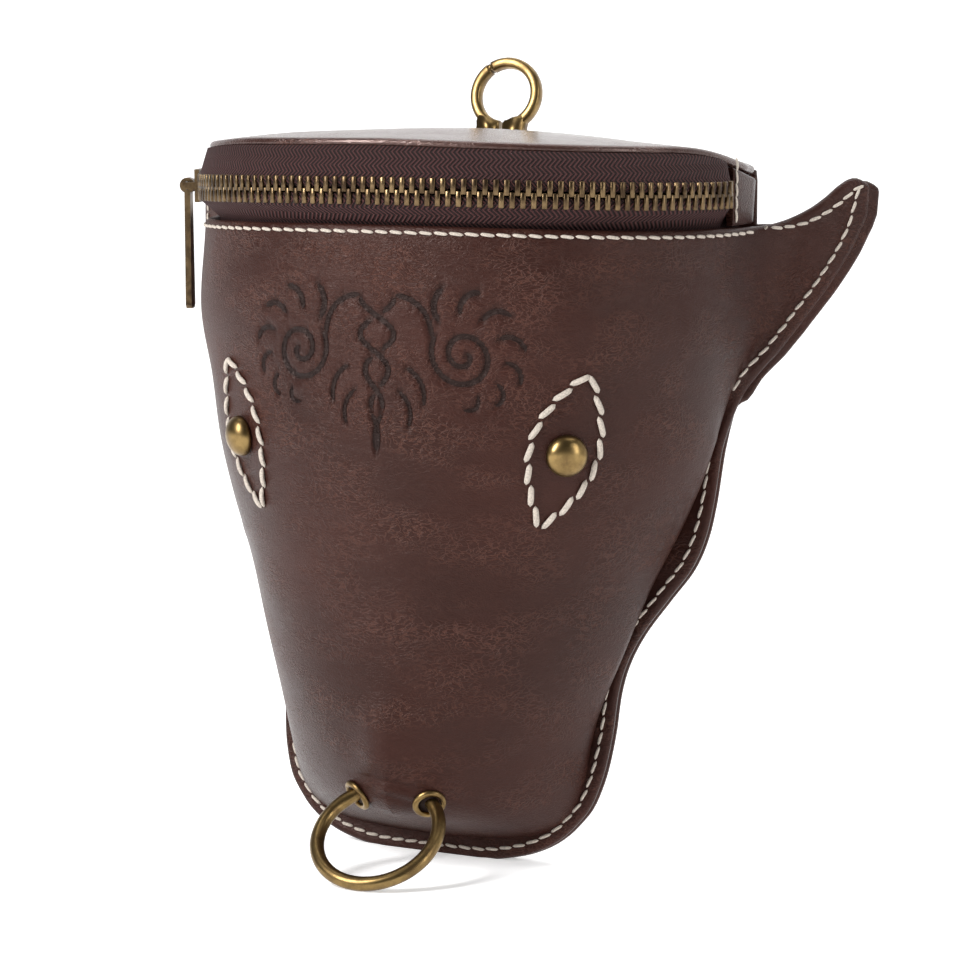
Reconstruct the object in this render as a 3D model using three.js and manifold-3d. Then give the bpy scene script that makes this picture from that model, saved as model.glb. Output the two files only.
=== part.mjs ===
// Belt pouch shaped like a bull's head: a flat back and a hollow front of brown
// leather sewn flange to flange, a curved metal zip under a level lid, a ring
// through the nose and a hinged hanging ring behind the lid.
// Millimetres, +Z up. The pouch stands on the foot of its flange and leans back.

import * as THREE from 'three';
import { mergeVertices } from 'three/addons/utils/BufferGeometryUtils.js';
import Module from 'manifold-3d';

const wasm = await Module();
wasm.setup();

// Whole pouch. lean is how far the back leans from upright where it stands
// balanced, mouthTilt the angle of the mouth and lid against the back.
const lean = THREE.MathUtils.degToRad(10.2);
const mouthTilt = THREE.MathUtils.degToRad(14);
const seamHeight = 159;
const mouthHalfWidth = 70;
const mouthDepth = 67.6;
const wall = 2.4;
const backWall = 2;
const clearance = 0.3;
const pinFit = 0.1;

// Zip and lid. The lip lies below the top of the back seam, the chain and the
// top of the lid above the lip.
const lipDrop = 2.7;
const chainRise = 7.7;
const lidRise = 19.5;
const sideDrop = 2;
const lidThickness = 2.2;
const lidDrop = 1.9;
const lidSkew = 0.6;
const lidCornerDrop = 6;
const lidDome = 0.9;
const lidInset = 1;
const tapeThickness = 0.8;
const tapeTuck = 2;
const bulgeDepth = 0.8;
const bulgeRun = 8.5;
const endTabReach = 15;
const endTabThickness = 1.8;
const toothPitch = 2.4;
const toothWidth = 0.85;
const toothHeight = 3.5;
const toothDepth = 2.4;
const toothLap = 0.7;
const cordHeight = 1;

// Horns
const hornReach = 24.4;
const hornSweep = 18;

// Brass
const studRadius = 4.7;
const studHeight = 3.9;
const studRim = 0.5;
const postRadius = 1.5;
const washerRadius = 3.8;
const washerThickness = 1.2;
const eyeletRadius = 4;
const eyeletBore = 2.8;
const eyeletWall = 0.7;
const eyeletLip = 0.8;
const eyeletSeat = -0.5;
const eyeletGrip = 2.6;
const noseRingRadius = 14.8;
const noseWireRadius = 1.7;
const snapInner = 6.85;
const snapBand = 2.75;
const snapDepth = 3.5;
const snapStandoff = 6.5;
const snapShift = -2.8;
const snapRise = 32.8;
const snapNeck = 12.5;
const snapBarDrop = 21;
const snapBarRadius = 1.5;
const snapBarRoom = 2;
const snapPinRadius = 0.55;
const slitLeft = -1.1;
const slitRight = 0.2;
const hangerWidth = 14;
const hangerLength = 34;
const hangerThickness = 2.16;
const pullLength = 31;
const pullWidth = 4.8;
const pullThickness = 1.5;
const pullHead = 1.95;
const pullCorner = 0.9;
const sliderLength = 7.6;
const sliderHeight = 8.2;
const sliderPlate = 1.2;
const sliderDepth = 27;
const crownRadius = 0.8;
const crownHeight = 2.3;
const crownLeg = 1.2;

const lipLevel = seamHeight - lipDrop;
const chainLevel = lipLevel + chainRise;
const lidLevel = lipLevel + lidRise;

// Front panel, a row for each section from the mouth down to the chin.
// seam and spine are heights at the flange and at the middle of the front, base
// is the half width at the flange, girth the half width of the bulge over it,
// depth the way forward, all shares of seamHeight, mouthHalfWidth and
// mouthDepth. square is 2 for a round section, less where it is drawn in.
const bodyTable = [
  { seam: 1.05, spine: 0.944, base: 0.971, girth: 1.0, depth: 1.008, square: 2.3 },
  { seam: 0.96, spine: 0.88, base: 0.971, girth: 1.0, depth: 0.987, square: 2.3 },
  { seam: 0.824, spine: 0.79, base: 0.964, girth: 1.01, depth: 0.947, square: 2.2 },
  { seam: 0.717, spine: 0.698, base: 0.929, girth: 0.966, depth: 0.9, square: 2.05 },
  { seam: 0.616, spine: 0.604, base: 0.857, girth: 0.919, depth: 0.849, square: 2 },
  { seam: 0.528, spine: 0.522, base: 0.764, girth: 0.856, depth: 0.793, square: 1.95 },
  { seam: 0.428, spine: 0.428, base: 0.671, girth: 0.761, depth: 0.728, square: 1.95 },
  { seam: 0.327, spine: 0.333, base: 0.6, girth: 0.686, depth: 0.663, square: 1.95 },
  { seam: 0.226, spine: 0.239, base: 0.551, girth: 0.607, depth: 0.598, square: 1.95 },
  { seam: 0.139, spine: 0.162, base: 0.553, girth: 0.568, depth: 0.545, square: 1.65 },
  { seam: 0.082, spine: 0.114, base: 0.523, girth: 0.53, depth: 0.515, square: 1.42 },
  { seam: 0.05, spine: 0.088, base: 0.452, girth: 0.455, depth: 0.492, square: 1.36 },
  { seam: 0.032, spine: 0.07, base: 0.34, girth: 0.342, depth: 0.45, square: 1.36 },
  { seam: 0.024, spine: 0.062, base: 0.17, girth: 0.17, depth: 0.42, square: 1.4 },
  { seam: 0.022, spine: 0.058, base: 0, girth: 0, depth: 0.4, square: 1.4 },
];

// Edge of both flanges from the foot up to the root of the horn, as shares of
// mouthHalfWidth and seamHeight
const outlineTable = [
  { out: 0, up: -0.006 },
  { out: 0.2, up: -0.005 },
  { out: 0.33, up: 0.006 },
  { out: 0.42, up: 0.022 },
  { out: 0.486, up: 0.042 },
  { out: 0.536, up: 0.066 },
  { out: 0.574, up: 0.09 },
  { out: 0.599, up: 0.119 },
  { out: 0.619, up: 0.156 },
  { out: 0.634, up: 0.21 },
  { out: 0.641, up: 0.27 },
  { out: 0.664, up: 0.318 },
  { out: 0.713, up: 0.366 },
  { out: 0.794, up: 0.42 },
  { out: 0.864, up: 0.466 },
  { out: 0.903, up: 0.513 },
  { out: 0.923, up: 0.57 },
  { out: 0.936, up: 0.651 },
  { out: 0.957, up: 0.711 },
  { out: 0.971, up: 0.724 },
];

// Horn, low and high edge against its reach, as shares of seamHeight
const hornTable = [
  { reach: -0.08, low: 0.75, high: 0.994 },
  { reach: 0, low: 0.724, high: 1.0 },
  { reach: 0.16, low: 0.765, high: 1.003 },
  { reach: 0.32, low: 0.8, high: 1.011 },
  { reach: 0.46, low: 0.838, high: 1.022 },
  { reach: 0.58, low: 0.874, high: 1.038 },
  { reach: 0.68, low: 0.905, high: 1.056 },
  { reach: 0.78, low: 0.94, high: 1.077 },
  { reach: 0.865, low: 0.975, high: 1.089 },
  { reach: 0.945, low: 1.017, high: 1.086 },
  { reach: 0.985, low: 1.046, high: 1.08 },
  { reach: 1, low: 1.059, high: 1.072 },
];

// Where the eyes and the nostrils sit on the front panel: row of the body table
// and turn from the middle of the front
const eyePlace = { row: 4.02, turn: 40.5 };
const nostrilPlace = { row: 11.1, turn: 26.5 };

const leather = { color: 0x3d2622, roughness: 0.42, metalness: 0 };
const tapeCloth = { color: 0x3a2526, roughness: 0.9, metalness: 0 };
const brass = { color: 0x8a6a35, roughness: 0.38, metalness: 1 };

// Foot of the snap ring, out and down from its centre, as shares of the outer
// radius and of snapNeck
const footTable = [
  { out: 0.643, down: 0.428 },
  { out: 0.62, down: 0.864 },
  { out: 0.55, down: 1 },
];

const bodyRows = 26;
const bodyTurns = 26;
const mouthTurns = 44;
const edgeSteps = 34;
const hornSteps = 18;
const roundSteps = 18;
const lidSteps = 5;

// Solids

function solidOf(geometry) {
  const plain = geometry.index ? geometry.toNonIndexed() : geometry.clone();
  plain.deleteAttribute('normal');
  plain.deleteAttribute('uv');
  const merged = mergeVertices(plain, 1e-4);
  return new wasm.Manifold(new wasm.Mesh({
    numProp: 3,
    vertProperties: new Float32Array(merged.attributes.position.array),
    triVerts: new Uint32Array(merged.index.array),
  }));
}

function geometryOf(solid) {
  const mesh = solid.getMesh();
  const geometry = new THREE.BufferGeometry();
  geometry.setAttribute('position', new THREE.BufferAttribute(new Float32Array(mesh.vertProperties), 3));
  geometry.setIndex(new THREE.BufferAttribute(new Uint32Array(mesh.triVerts), 1));
  return geometry;
}

function join(...geometries) {
  return geometryOf(geometries.map(solidOf).reduce((whole, next) => whole.add(next)));
}

function cut(geometry, ...tools) {
  return geometryOf(tools.map(solidOf).reduce((whole, tool) => whole.subtract(tool), solidOf(geometry)));
}

function facesOut(geometry) {
  const p = geometry.attributes.position;
  const index = geometry.index.array;
  const [a, b, c] = [new THREE.Vector3(), new THREE.Vector3(), new THREE.Vector3()];
  let volume = 0;
  for (let i = 0; i < index.length; i += 3) {
    a.fromBufferAttribute(p, index[i]);
    b.fromBufferAttribute(p, index[i + 1]);
    c.fromBufferAttribute(p, index[i + 2]);
    volume += a.dot(b.cross(c));
  }
  if (volume < 0) {
    for (let i = 0; i < index.length; i += 3) {
      [index[i + 1], index[i + 2]] = [index[i + 2], index[i + 1]];
    }
  }
  return geometry;
}

// A solid through closed rings of equally many points, flat at both ends
function loft(rings) {
  const count = rings[0].length;
  const points = rings.flat();
  const faces = [];
  for (let i = 0; i + 1 < rings.length; i += 1) {
    for (let j = 0; j < count; j += 1) {
      const k = (j + 1) % count;
      const [a, b, c, d] = [i * count + j, i * count + k, (i + 1) * count + k, (i + 1) * count + j];
      faces.push(a, b, c, a, c, d);
    }
  }
  const last = (rings.length - 1) * count;
  for (let j = 1; j + 1 < count; j += 1) {
    faces.push(0, j + 1, j);
    faces.push(last, last + j, last + j + 1);
  }
  const geometry = new THREE.BufferGeometry().setFromPoints(points);
  geometry.setIndex(faces);
  return facesOut(geometry);
}

// A table read at any place between its rows
function reader(table) {
  const names = Object.keys(table[0]);
  const rows = table.map((row, i) => i);
  const values = table.flatMap((row) => names.map((name) => row[name]));
  const curve = new THREE.CubicInterpolant(rows, values, names.length);
  return (row) => {
    const result = curve.evaluate(row);
    return Object.fromEntries(names.map((name, i) => [name, result[i]]));
  };
}

// Front panel surface

const bodyRow = reader(bodyTable);
const lastRow = bodyTable.length - 1;
const chinRow = 9;
const tuckReach = 9;

function bodyPoint(row, turn, inset) {
  const s = bodyRow(row);
  const room = Math.min(1, (s.base * mouthHalfWidth) / (3 * wall));
  const lift = inset * Math.min(1, Math.max(0, (row - chinRow) / 2));
  const base = s.base * mouthHalfWidth - inset * room;
  const girth = s.girth * mouthHalfWidth - inset * room;
  const depth = s.depth * mouthDepth - inset;
  const side = Math.abs(Math.cos(turn)) ** (2 / s.square);
  const out = Math.abs(Math.sin(turn)) ** (2 / s.square);
  const tuck = (girth - base) * (1 - Math.min(1, (out * depth) / tuckReach)) ** 2;
  const x = Math.max(0, girth * side - tuck) * Math.sign(Math.round(Math.cos(turn) * 1e6));
  const z = THREE.MathUtils.lerp(s.seam, s.spine, out) * seamHeight + lift;
  return new THREE.Vector3(x, -clearance / 2 - depth * out, z);
}

function bodyNormal(row, turn) {
  const step = 0.02;
  const down = bodyPoint(row + step, turn, 0).sub(bodyPoint(row - step, turn, 0));
  const across = bodyPoint(row, turn + step, 0).sub(bodyPoint(row, turn - step, 0));
  return down.cross(across).normalize();
}

function bodyShell() {
  const points = [];
  const faces = [];
  const row = bodyTurns + 1;
  for (const inset of [0, wall]) {
    for (let i = 0; i <= bodyRows; i += 1) {
      for (let j = 0; j <= bodyTurns; j += 1) {
        points.push(bodyPoint((i / bodyRows) * lastRow, (j / bodyTurns) * Math.PI, inset));
      }
    }
  }
  const inner = (bodyRows + 1) * row;
  const quad = (a, b, c, d) => faces.push(a, b, c, a, c, d);
  for (let i = 0; i < bodyRows; i += 1) {
    for (let j = 0; j < bodyTurns; j += 1) {
      const a = i * row + j;
      quad(a, a + 1, a + row + 1, a + row);
      quad(inner + a, inner + a + row, inner + a + row + 1, inner + a + 1);
    }
    const left = i * row;
    const right = left + bodyTurns;
    quad(left, left + row, inner + left + row, inner + left);
    quad(right, inner + right, inner + right + row, right + row);
  }
  for (let j = 0; j < bodyTurns; j += 1) {
    quad(j, inner + j, inner + j + 1, j + 1);
  }
  const geometry = new THREE.BufferGeometry().setFromPoints(points);
  geometry.setIndex(faces);
  return facesOut(mergeVertices(geometry, 1e-4));
}

// Flanges and horns

function outline() {
  const read = reader(outlineTable);
  const points = [];
  for (let i = 0; i <= edgeSteps; i += 1) {
    const at = read((i / edgeSteps) * (outlineTable.length - 1));
    points.push(new THREE.Vector2(at.out * mouthHalfWidth, at.up * seamHeight));
  }
  return points;
}

const mirrored = (points) => points.map((p) => new THREE.Vector2(-p.x, p.y)).reverse();

function plate(points, front, thickness, hole) {
  const shape = new THREE.Shape(points);
  if (hole) {
    shape.holes.push(new THREE.Path(hole));
  }
  const geometry = new THREE.ExtrudeGeometry(shape, { depth: thickness, bevelEnabled: false });
  geometry.rotateX(Math.PI / 2);
  geometry.translate(0, front + thickness, 0);
  return geometry;
}

const hornBack = (reach) => hornSweep * Math.max(0, reach) ** 1.5;

function horn(side, front, thickness) {
  const read = reader(hornTable);
  const rings = [];
  for (let i = 0; i <= hornSteps; i += 1) {
    const at = read((i / hornSteps) * (hornTable.length - 1));
    const x = side * (bodyTable[0].base * mouthHalfWidth + at.reach * hornReach);
    const y = hornBack(at.reach) + front;
    const [low, high] = [at.low * seamHeight, at.high * seamHeight];
    rings.push([
      new THREE.Vector3(x, y, low),
      new THREE.Vector3(x, y + thickness, low),
      new THREE.Vector3(x, y + thickness, high),
      new THREE.Vector3(x, y, high),
    ]);
  }
  return loft(rings);
}

// The floor seen from the leaning pouch
function floor() {
  const size = 4 * seamHeight;
  const box = new THREE.BoxGeometry(size, size, size);
  box.translate(0, 0, -size / 2);
  box.rotateX(lean);
  return box;
}

// Mouth of the pouch, level: the back meets it at backAt(height)

const backAt = (height) => height * Math.tan(mouthTilt);
const levelAt = (height, x) => height - sideDrop * (x / mouthHalfWidth) ** 2;
const topRow = bodyRow(0);

function mouthPoint(inset, turn, height) {
  const depth = (topRow.depth * mouthDepth) / Math.cos(mouthTilt) - inset;
  const base = topRow.base * mouthHalfWidth - inset;
  const girth = topRow.girth * mouthHalfWidth - inset;
  const side = Math.abs(Math.cos(turn)) ** (2 / topRow.square);
  const out = Math.abs(Math.sin(turn)) ** (2 / topRow.square);
  const tuck = (girth - base) * (1 - Math.min(1, (out * depth) / tuckReach)) ** 2;
  const slant = (backAt(height) - backAt(lipLevel)) * (1 - Math.min(1, (out * depth) / endTabReach));
  const x = (girth * side - tuck) * Math.sign(Math.cos(turn));
  const ahead = (wall + 3 * clearance) * (1 - Math.min(1, (out * depth) / tuckReach));
  return new THREE.Vector3(x, backAt(lipLevel) + slant - ahead - depth * out, height);
}

function bulge(inset, turn) {
  const forward = backAt(lipLevel) - mouthPoint(inset, turn, lipLevel).y;
  return bulgeDepth * THREE.MathUtils.smoothstep(forward, endTabReach - 1, endTabReach - 1 + bulgeRun);
}

function lidUnder(x, y) {
  const share = x / mouthHalfWidth;
  const towardBack = THREE.MathUtils.smoothstep(y, 0, backAt(lidLevel));
  return lidLevel - lidThickness - lidDrop * Math.abs(share) ** 1.3 - lidSkew * share
    - lidCornerDrop * share * share * towardBack;
}

// A strip along the mouth: profile gives pairs of inset and height at a turn
function mouthStrip(from, to, profile) {
  const count = Math.max(3, Math.round((Math.abs(to - from) / Math.PI) * mouthTurns));
  const rings = [];
  for (let i = 0; i <= count; i += 1) {
    const turn = from + ((to - from) * i) / count;
    rings.push(profile(turn).map(([inset, height]) => mouthPoint(inset, turn, height)));
  }
  return loft(rings);
}

const tuckedInset = wall + 3 * clearance + tapeThickness / 2;
const chainHalf = toothHeight - toothLap / 2;

function chainInset(turn) {
  const share = bulge(tuckedInset, turn) / bulgeDepth;
  return THREE.MathUtils.lerp(tuckedInset, -bulgeDepth, share);
}

function lowerTape() {
  const half = tapeThickness / 2;
  return mouthStrip(0, Math.PI, (turn) => {
    const edge = chainInset(turn);
    const { x } = mouthPoint(edge, turn, lipLevel);
    const lip = levelAt(lipLevel, x);
    const top = levelAt(chainLevel, x) - chainHalf - clearance;
    return [
      [tuckedInset - half, lip - tapeTuck],
      [tuckedInset + half, lip - tapeTuck],
      [tuckedInset + half, lip + clearance],
      [edge + half, top],
      [edge - half, top],
      [tuckedInset - half, lip + clearance],
    ];
  });
}

function upperTape() {
  const half = tapeThickness / 2;
  return mouthStrip(0, Math.PI, (turn) => {
    const edge = chainInset(turn);
    const place = mouthPoint(tuckedInset, turn, lidLevel);
    const low = levelAt(chainLevel, place.x) + chainHalf + clearance;
    const high = lidUnder(place.x, place.y) - 1.5 * clearance;
    return [
      [edge - half, low],
      [edge + half, low],
      [tuckedInset + half, high],
      [tuckedInset - half, high],
    ];
  });
}

// Zip chain from the right end tab to the slider on the left

const forwardOf = (turn) => backAt(lipLevel) - mouthPoint(0, turn, lipLevel).y;

function turnAt(forward, side) {
  let low = 0;
  let high = Math.PI / 2;
  for (let i = 0; i < 40; i += 1) {
    const middle = (low + high) / 2;
    if (forwardOf(middle) < forward) {
      low = middle;
    } else {
      high = middle;
    }
  }
  return side > 0 ? low : Math.PI - low;
}

const chainStart = turnAt(endTabReach + 3 * clearance + 1, 1);
const sliderTurn = turnAt(sliderDepth, -1);
const chainEnd = turnAt(sliderDepth + sliderLength / 2 + 2 * clearance, -1);

function chainPath() {
  const points = [];
  for (let i = 0; i <= mouthTurns * 2; i += 1) {
    const turn = chainStart + ((chainEnd - chainStart) * i) / (mouthTurns * 2);
    const place = mouthPoint(chainInset(turn), turn, chainLevel);
    place.z = levelAt(chainLevel, place.x);
    points.push(place);
  }
  return new THREE.CatmullRomCurve3(points);
}

// One row of teeth on its cord. Each tooth has a station at either side, with
// six points: tip, edge of the cord and top, inside and outside.
function teeth(side) {
  const path = chainPath();
  const length = path.getLength();
  const count = Math.floor(length / toothPitch - 1);
  const top = chainHalf;
  const heights = [-toothLap / 2, top - cordHeight, top].map((height) => height * side);
  const points = [];
  for (let i = 0; i < count; i += 1) {
    const middle = (i + (side > 0 ? 0.5 : 1)) * toothPitch;
    for (const along of [middle - toothWidth / 2, middle + toothWidth / 2]) {
      const place = path.getPointAt(along / length);
      const tangent = path.getTangentAt(along / length);
      const across = new THREE.Vector3(-tangent.y, tangent.x, 0).setLength(toothDepth / 2);
      for (const reach of [-1, 1]) {
        for (const height of heights) {
          const point = place.clone().addScaledVector(across, reach);
          points.push(point.setZ(place.z + height));
        }
      }
    }
  }
  const faces = [];
  const quad = (a, b, c, d) => faces.push(a, b, c, a, c, d);
  const last = points.length - 6;
  quad(1, 4, 5, 2);
  quad(last + 1, last + 2, last + 5, last + 4);
  for (let i = 0; i < last; i += 6) {
    const j = i + 6;
    quad(i + 1, i + 2, j + 2, j + 1);
    quad(i + 2, i + 5, j + 5, j + 2);
    quad(i + 5, i + 4, j + 4, j + 5);
    if ((i / 6) % 2) {
      quad(i + 4, i + 1, j + 1, j + 4);
    } else {
      quad(i, i + 1, j + 1, j);
      quad(i + 4, i + 3, j + 3, j + 4);
      quad(i + 3, i, j, j + 3);
      quad(i, i + 3, i + 4, i + 1);
      quad(j, j + 1, j + 4, j + 3);
    }
  }
  const geometry = new THREE.BufferGeometry().setFromPoints(points);
  geometry.setIndex(faces);
  return facesOut(geometry);
}

// Lid, a level plate crowned across and a little domed

function lidRings(low, high, overhang) {
  const rings = [];
  const back = backAt(lidLevel) + backWall / Math.cos(mouthTilt) + clearance;
  for (let i = 0; i <= mouthTurns; i += 1) {
    const turn = (i / mouthTurns) * Math.PI;
    const { x } = mouthPoint(lidInset - overhang, turn, lidLevel);
    const front = mouthPoint(0, turn, lipLevel).y - overhang;
    const end = back + overhang;
    const ring = [];
    for (const [height, from, to] of [[low, 0, lidSteps], [high, lidSteps, 0]]) {
      for (let j = from; to > from ? j <= to : j >= to; j += Math.sign(to - from)) {
        const y = THREE.MathUtils.lerp(front, end, j / lidSteps);
        const dome = lidDome * Math.sin(turn) * Math.sin((Math.PI * j) / lidSteps);
        ring.push(new THREE.Vector3(x, y, lidUnder(x, y) + height + dome));
      }
    }
    rings.push(ring);
  }
  return rings;
}

// The space over the underside of the lid, in the frame of the leaning pouch
function lidSpace() {
  const space = loft(lidRings(-clearance, seamHeight, wall * 4));
  space.rotateX(mouthTilt);
  return space;
}

const rimHeight = () => levelAt(lipLevel, topRow.base * mouthHalfWidth) / Math.cos(mouthTilt);

// The space over the lip, in the frame of the leaning pouch
function lipSpace() {
  const size = seamHeight;
  const rings = [];
  for (let i = 0; i <= mouthTurns; i += 1) {
    const x = ((i / mouthTurns) * 2 - 1) * mouthHalfWidth * 1.2;
    const lip = levelAt(lipLevel, x);
    rings.push([
      new THREE.Vector3(x, -size, lip),
      new THREE.Vector3(x, size, lip),
      new THREE.Vector3(x, size, lip + size),
      new THREE.Vector3(x, -size, lip + size),
    ]);
  }
  const space = loft(rings);
  space.rotateX(mouthTilt);
  return space;
}

// The row of the body table that lies at the lip
const rimRow = 1.1;

function frontPanel() {
  const body = cut(bodyShell(), lipSpace());

  const edge = outline();
  const corner = edge[edge.length - 1];
  const rim = rimHeight();
  const hole = [];
  for (let i = 0; i <= bodyRows; i += 1) {
    const at = rimRow + ((lastRow - rimRow) * i) / bodyRows;
    const p = bodyPoint(at, 0, wall / 2);
    hole.push(new THREE.Vector2(p.x, p.z));
  }
  hole[0].y = rim;
  const right = [...edge, new THREE.Vector2(corner.x, rim)];
  const ring = [...right.slice(1), ...hole, ...mirrored(hole).slice(1), ...mirrored(right)];
  const front = -clearance / 2 - wall;
  const panel = join(body, plate(ring, front, wall), horn(1, front, wall), horn(-1, front, wall));

  const holes = [];
  for (const side of [1, -1]) {
    for (const [place, radius] of [[eyePlace, postRadius], [nostrilPlace, eyeletBore + eyeletWall]]) {
      const room = radius + clearance / 2;
      const drill = new THREE.CylinderGeometry(room, room, 6 * wall, roundSteps);
      holes.push(drill.applyMatrix4(seatOn(place, side)));
    }
    const depth = 2 * wall;
    const wide = eyeletRadius + clearance;
    for (const middle of [eyeletSeat + depth / 2, eyeletSeat - eyeletGrip - depth / 2]) {
      const spot = new THREE.CylinderGeometry(wide, wide, depth, roundSteps);
      spot.translate(0, middle, 0);
      holes.push(spot.applyMatrix4(seatOn(nostrilPlace, side)));
    }
  }
  return cut(panel, ...holes, floor());
}

function backPanel() {
  const edge = outline();
  const corner = edge[edge.length - 1];
  const side = topRow.base * mouthHalfWidth;
  const right = [
    ...edge,
    new THREE.Vector2(corner.x, rimHeight()),
    new THREE.Vector2(side - clearance, rimHeight() + clearance),
    new THREE.Vector2(side - 2 * clearance, lidLevel / Math.cos(mouthTilt) + 4 * lidThickness),
  ];
  const sheet = plate([...right.slice(1), ...mirrored(right)], clearance / 2, backWall);
  const panel = join(sheet, horn(1, clearance / 2, backWall), horn(-1, clearance / 2, backWall));
  return cut(panel, floor(), lidSpace());
}

// Seats of the eyes and the nose ring. A seat's Y axis points out of the leather.

const nosePlane = (() => {
  const spot = bodyPoint(nostrilPlace.row, Math.PI / 2 - THREE.MathUtils.degToRad(nostrilPlace.turn), 0);
  const normal = bodyNormal(nostrilPlace.row, Math.PI / 2 - THREE.MathUtils.degToRad(nostrilPlace.turn));
  if (normal.y > 0) {
    normal.negate();
  }
  const centre = spot.clone().addScaledVector(normal, -wall / 2);
  const height = centre.z * Math.cos(lean) - centre.y * Math.sin(lean);
  const reach = Math.sqrt(noseRingRadius ** 2 - centre.x ** 2);
  const tilt = Math.acos((height - noseWireRadius) / (reach + noseRingRadius));
  return { centre, reach, tilt };
})();

function seatOn(place, side) {
  const turn = Math.PI / 2 - THREE.MathUtils.degToRad(place.turn) * side;
  const spot = bodyPoint(place.row, turn, 0);
  let normal = bodyNormal(place.row, turn);
  if (normal.y > 0) {
    normal.negate();
  }
  if (place === nostrilPlace) {
    const open = Math.asin(nosePlane.centre.x / noseRingRadius);
    const down = new THREE.Vector3(0, -Math.sin(nosePlane.tilt), -Math.cos(nosePlane.tilt));
    down.applyAxisAngle(new THREE.Vector3(1, 0, 0), lean);
    normal = new THREE.Vector3(side * Math.cos(open), 0, 0).addScaledVector(down, Math.sin(open));
    spot.set(side * nosePlane.centre.x, nosePlane.centre.y, nosePlane.centre.z);
    spot.addScaledVector(normal, wall / 2);
  }
  const turned = new THREE.Quaternion().setFromUnitVectors(new THREE.Vector3(0, 1, 0), normal);
  return new THREE.Matrix4().compose(spot, turned, new THREE.Vector3(1, 1, 1));
}

function lathe(points) {
  return new THREE.LatheGeometry(points.map(([r, h]) => new THREE.Vector2(r, h)), roundSteps);
}

function stud() {
  const steps = 5;
  const dome = [];
  for (let i = 0; i < steps; i += 1) {
    const angle = (i / steps) * (Math.PI / 2);
    const height = clearance + studRim + (studHeight - studRim) * Math.sin(angle);
    dome.push([studRadius * Math.cos(angle), height]);
  }
  const inside = -wall - 2 * clearance;
  return lathe([
    [0, inside - washerThickness],
    [washerRadius, inside - washerThickness],
    [washerRadius, inside],
    [postRadius, inside],
    [postRadius, clearance],
    [studRadius, clearance],
    ...dome,
    [0, clearance + studHeight],
  ]);
}

function eyelet() {
  const top = eyeletSeat + clearance / 2;
  const bottom = eyeletSeat - eyeletGrip - clearance / 2;
  return lathe([
    [eyeletBore, bottom - eyeletLip],
    [eyeletRadius, bottom - eyeletLip],
    [eyeletRadius, bottom],
    [eyeletBore + eyeletWall, bottom],
    [eyeletBore + eyeletWall, top],
    [eyeletRadius, top],
    [eyeletRadius - eyeletLip / 4, top + eyeletLip * 0.7],
    [eyeletRadius - eyeletLip, top + eyeletLip],
    [eyeletBore, top + eyeletLip * 0.5],
    [eyeletBore, bottom - eyeletLip],
  ]);
}

// Nose ring about the line through both eyelets
function noseRing() {
  const ring = new THREE.TorusGeometry(noseRingRadius, noseWireRadius, 10, 2 * roundSteps);
  ring.rotateX(Math.PI / 2);
  ring.translate(0, 0, -nosePlane.reach);
  return ring;
}

// Snap ring, in the plane of its own band, centre at its origin, X across, Z up.
// The cut at snapPin, near the top left, and the slit at the foot part the gate.

const snapOuter = snapInner + snapBand;
const snapMiddle = snapInner + snapBand / 2;
const snapPin = THREE.MathUtils.degToRad(124);
const snapSlit = THREE.MathUtils.degToRad(266);
const knuckle = snapBand / 2;

function snapSlab(points, hole) {
  return plate(points, -snapDepth / 2, snapDepth, hole);
}

function arcPoints(radius, from, to, count) {
  const points = [];
  for (let i = 0; i <= count; i += 1) {
    const angle = from + ((to - from) * i) / count;
    points.push(new THREE.Vector2(radius * Math.cos(angle), radius * Math.sin(angle)));
  }
  return points;
}

const pinPlace = new THREE.Vector2(snapMiddle * Math.cos(snapPin), snapMiddle * Math.sin(snapPin));

function disc(radius, depth, place) {
  const geometry = new THREE.CylinderGeometry(radius, radius, depth, roundSteps);
  geometry.translate(place.x, 0, place.y);
  return geometry;
}

const pinCut = (knuckle + clearance) / snapMiddle;
const slitCut = 0.09;
const bandSteps = 22;

function footPoints(side, low) {
  const points = footTable.map(({ out, down }) => (
    new THREE.Vector2(side * out * snapOuter, Math.max(-down * snapNeck, low))));
  const slit = side > 0 ? slitRight : slitLeft;
  return [new THREE.Vector2(slit, -snapInner - clearance), ...points, new THREE.Vector2(slit, low)];
}

// A tab of the hinge, from the end of a band to the round end about the pin
function hingeTab(angle, depth, y) {
  const from = arcPoints(snapMiddle, angle, angle, 1)[0];
  const bridge = new THREE.BoxGeometry(from.distanceTo(pinPlace), depth, snapBand * 0.9);
  bridge.rotateY(-Math.atan2(pinPlace.y - from.y, pinPlace.x - from.x));
  bridge.translate((from.x + pinPlace.x) / 2, 0, (from.y + pinPlace.y) / 2);
  return [disc(knuckle, depth, pinPlace), bridge].map((solid) => solid.translate(0, y, 0));
}

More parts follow.
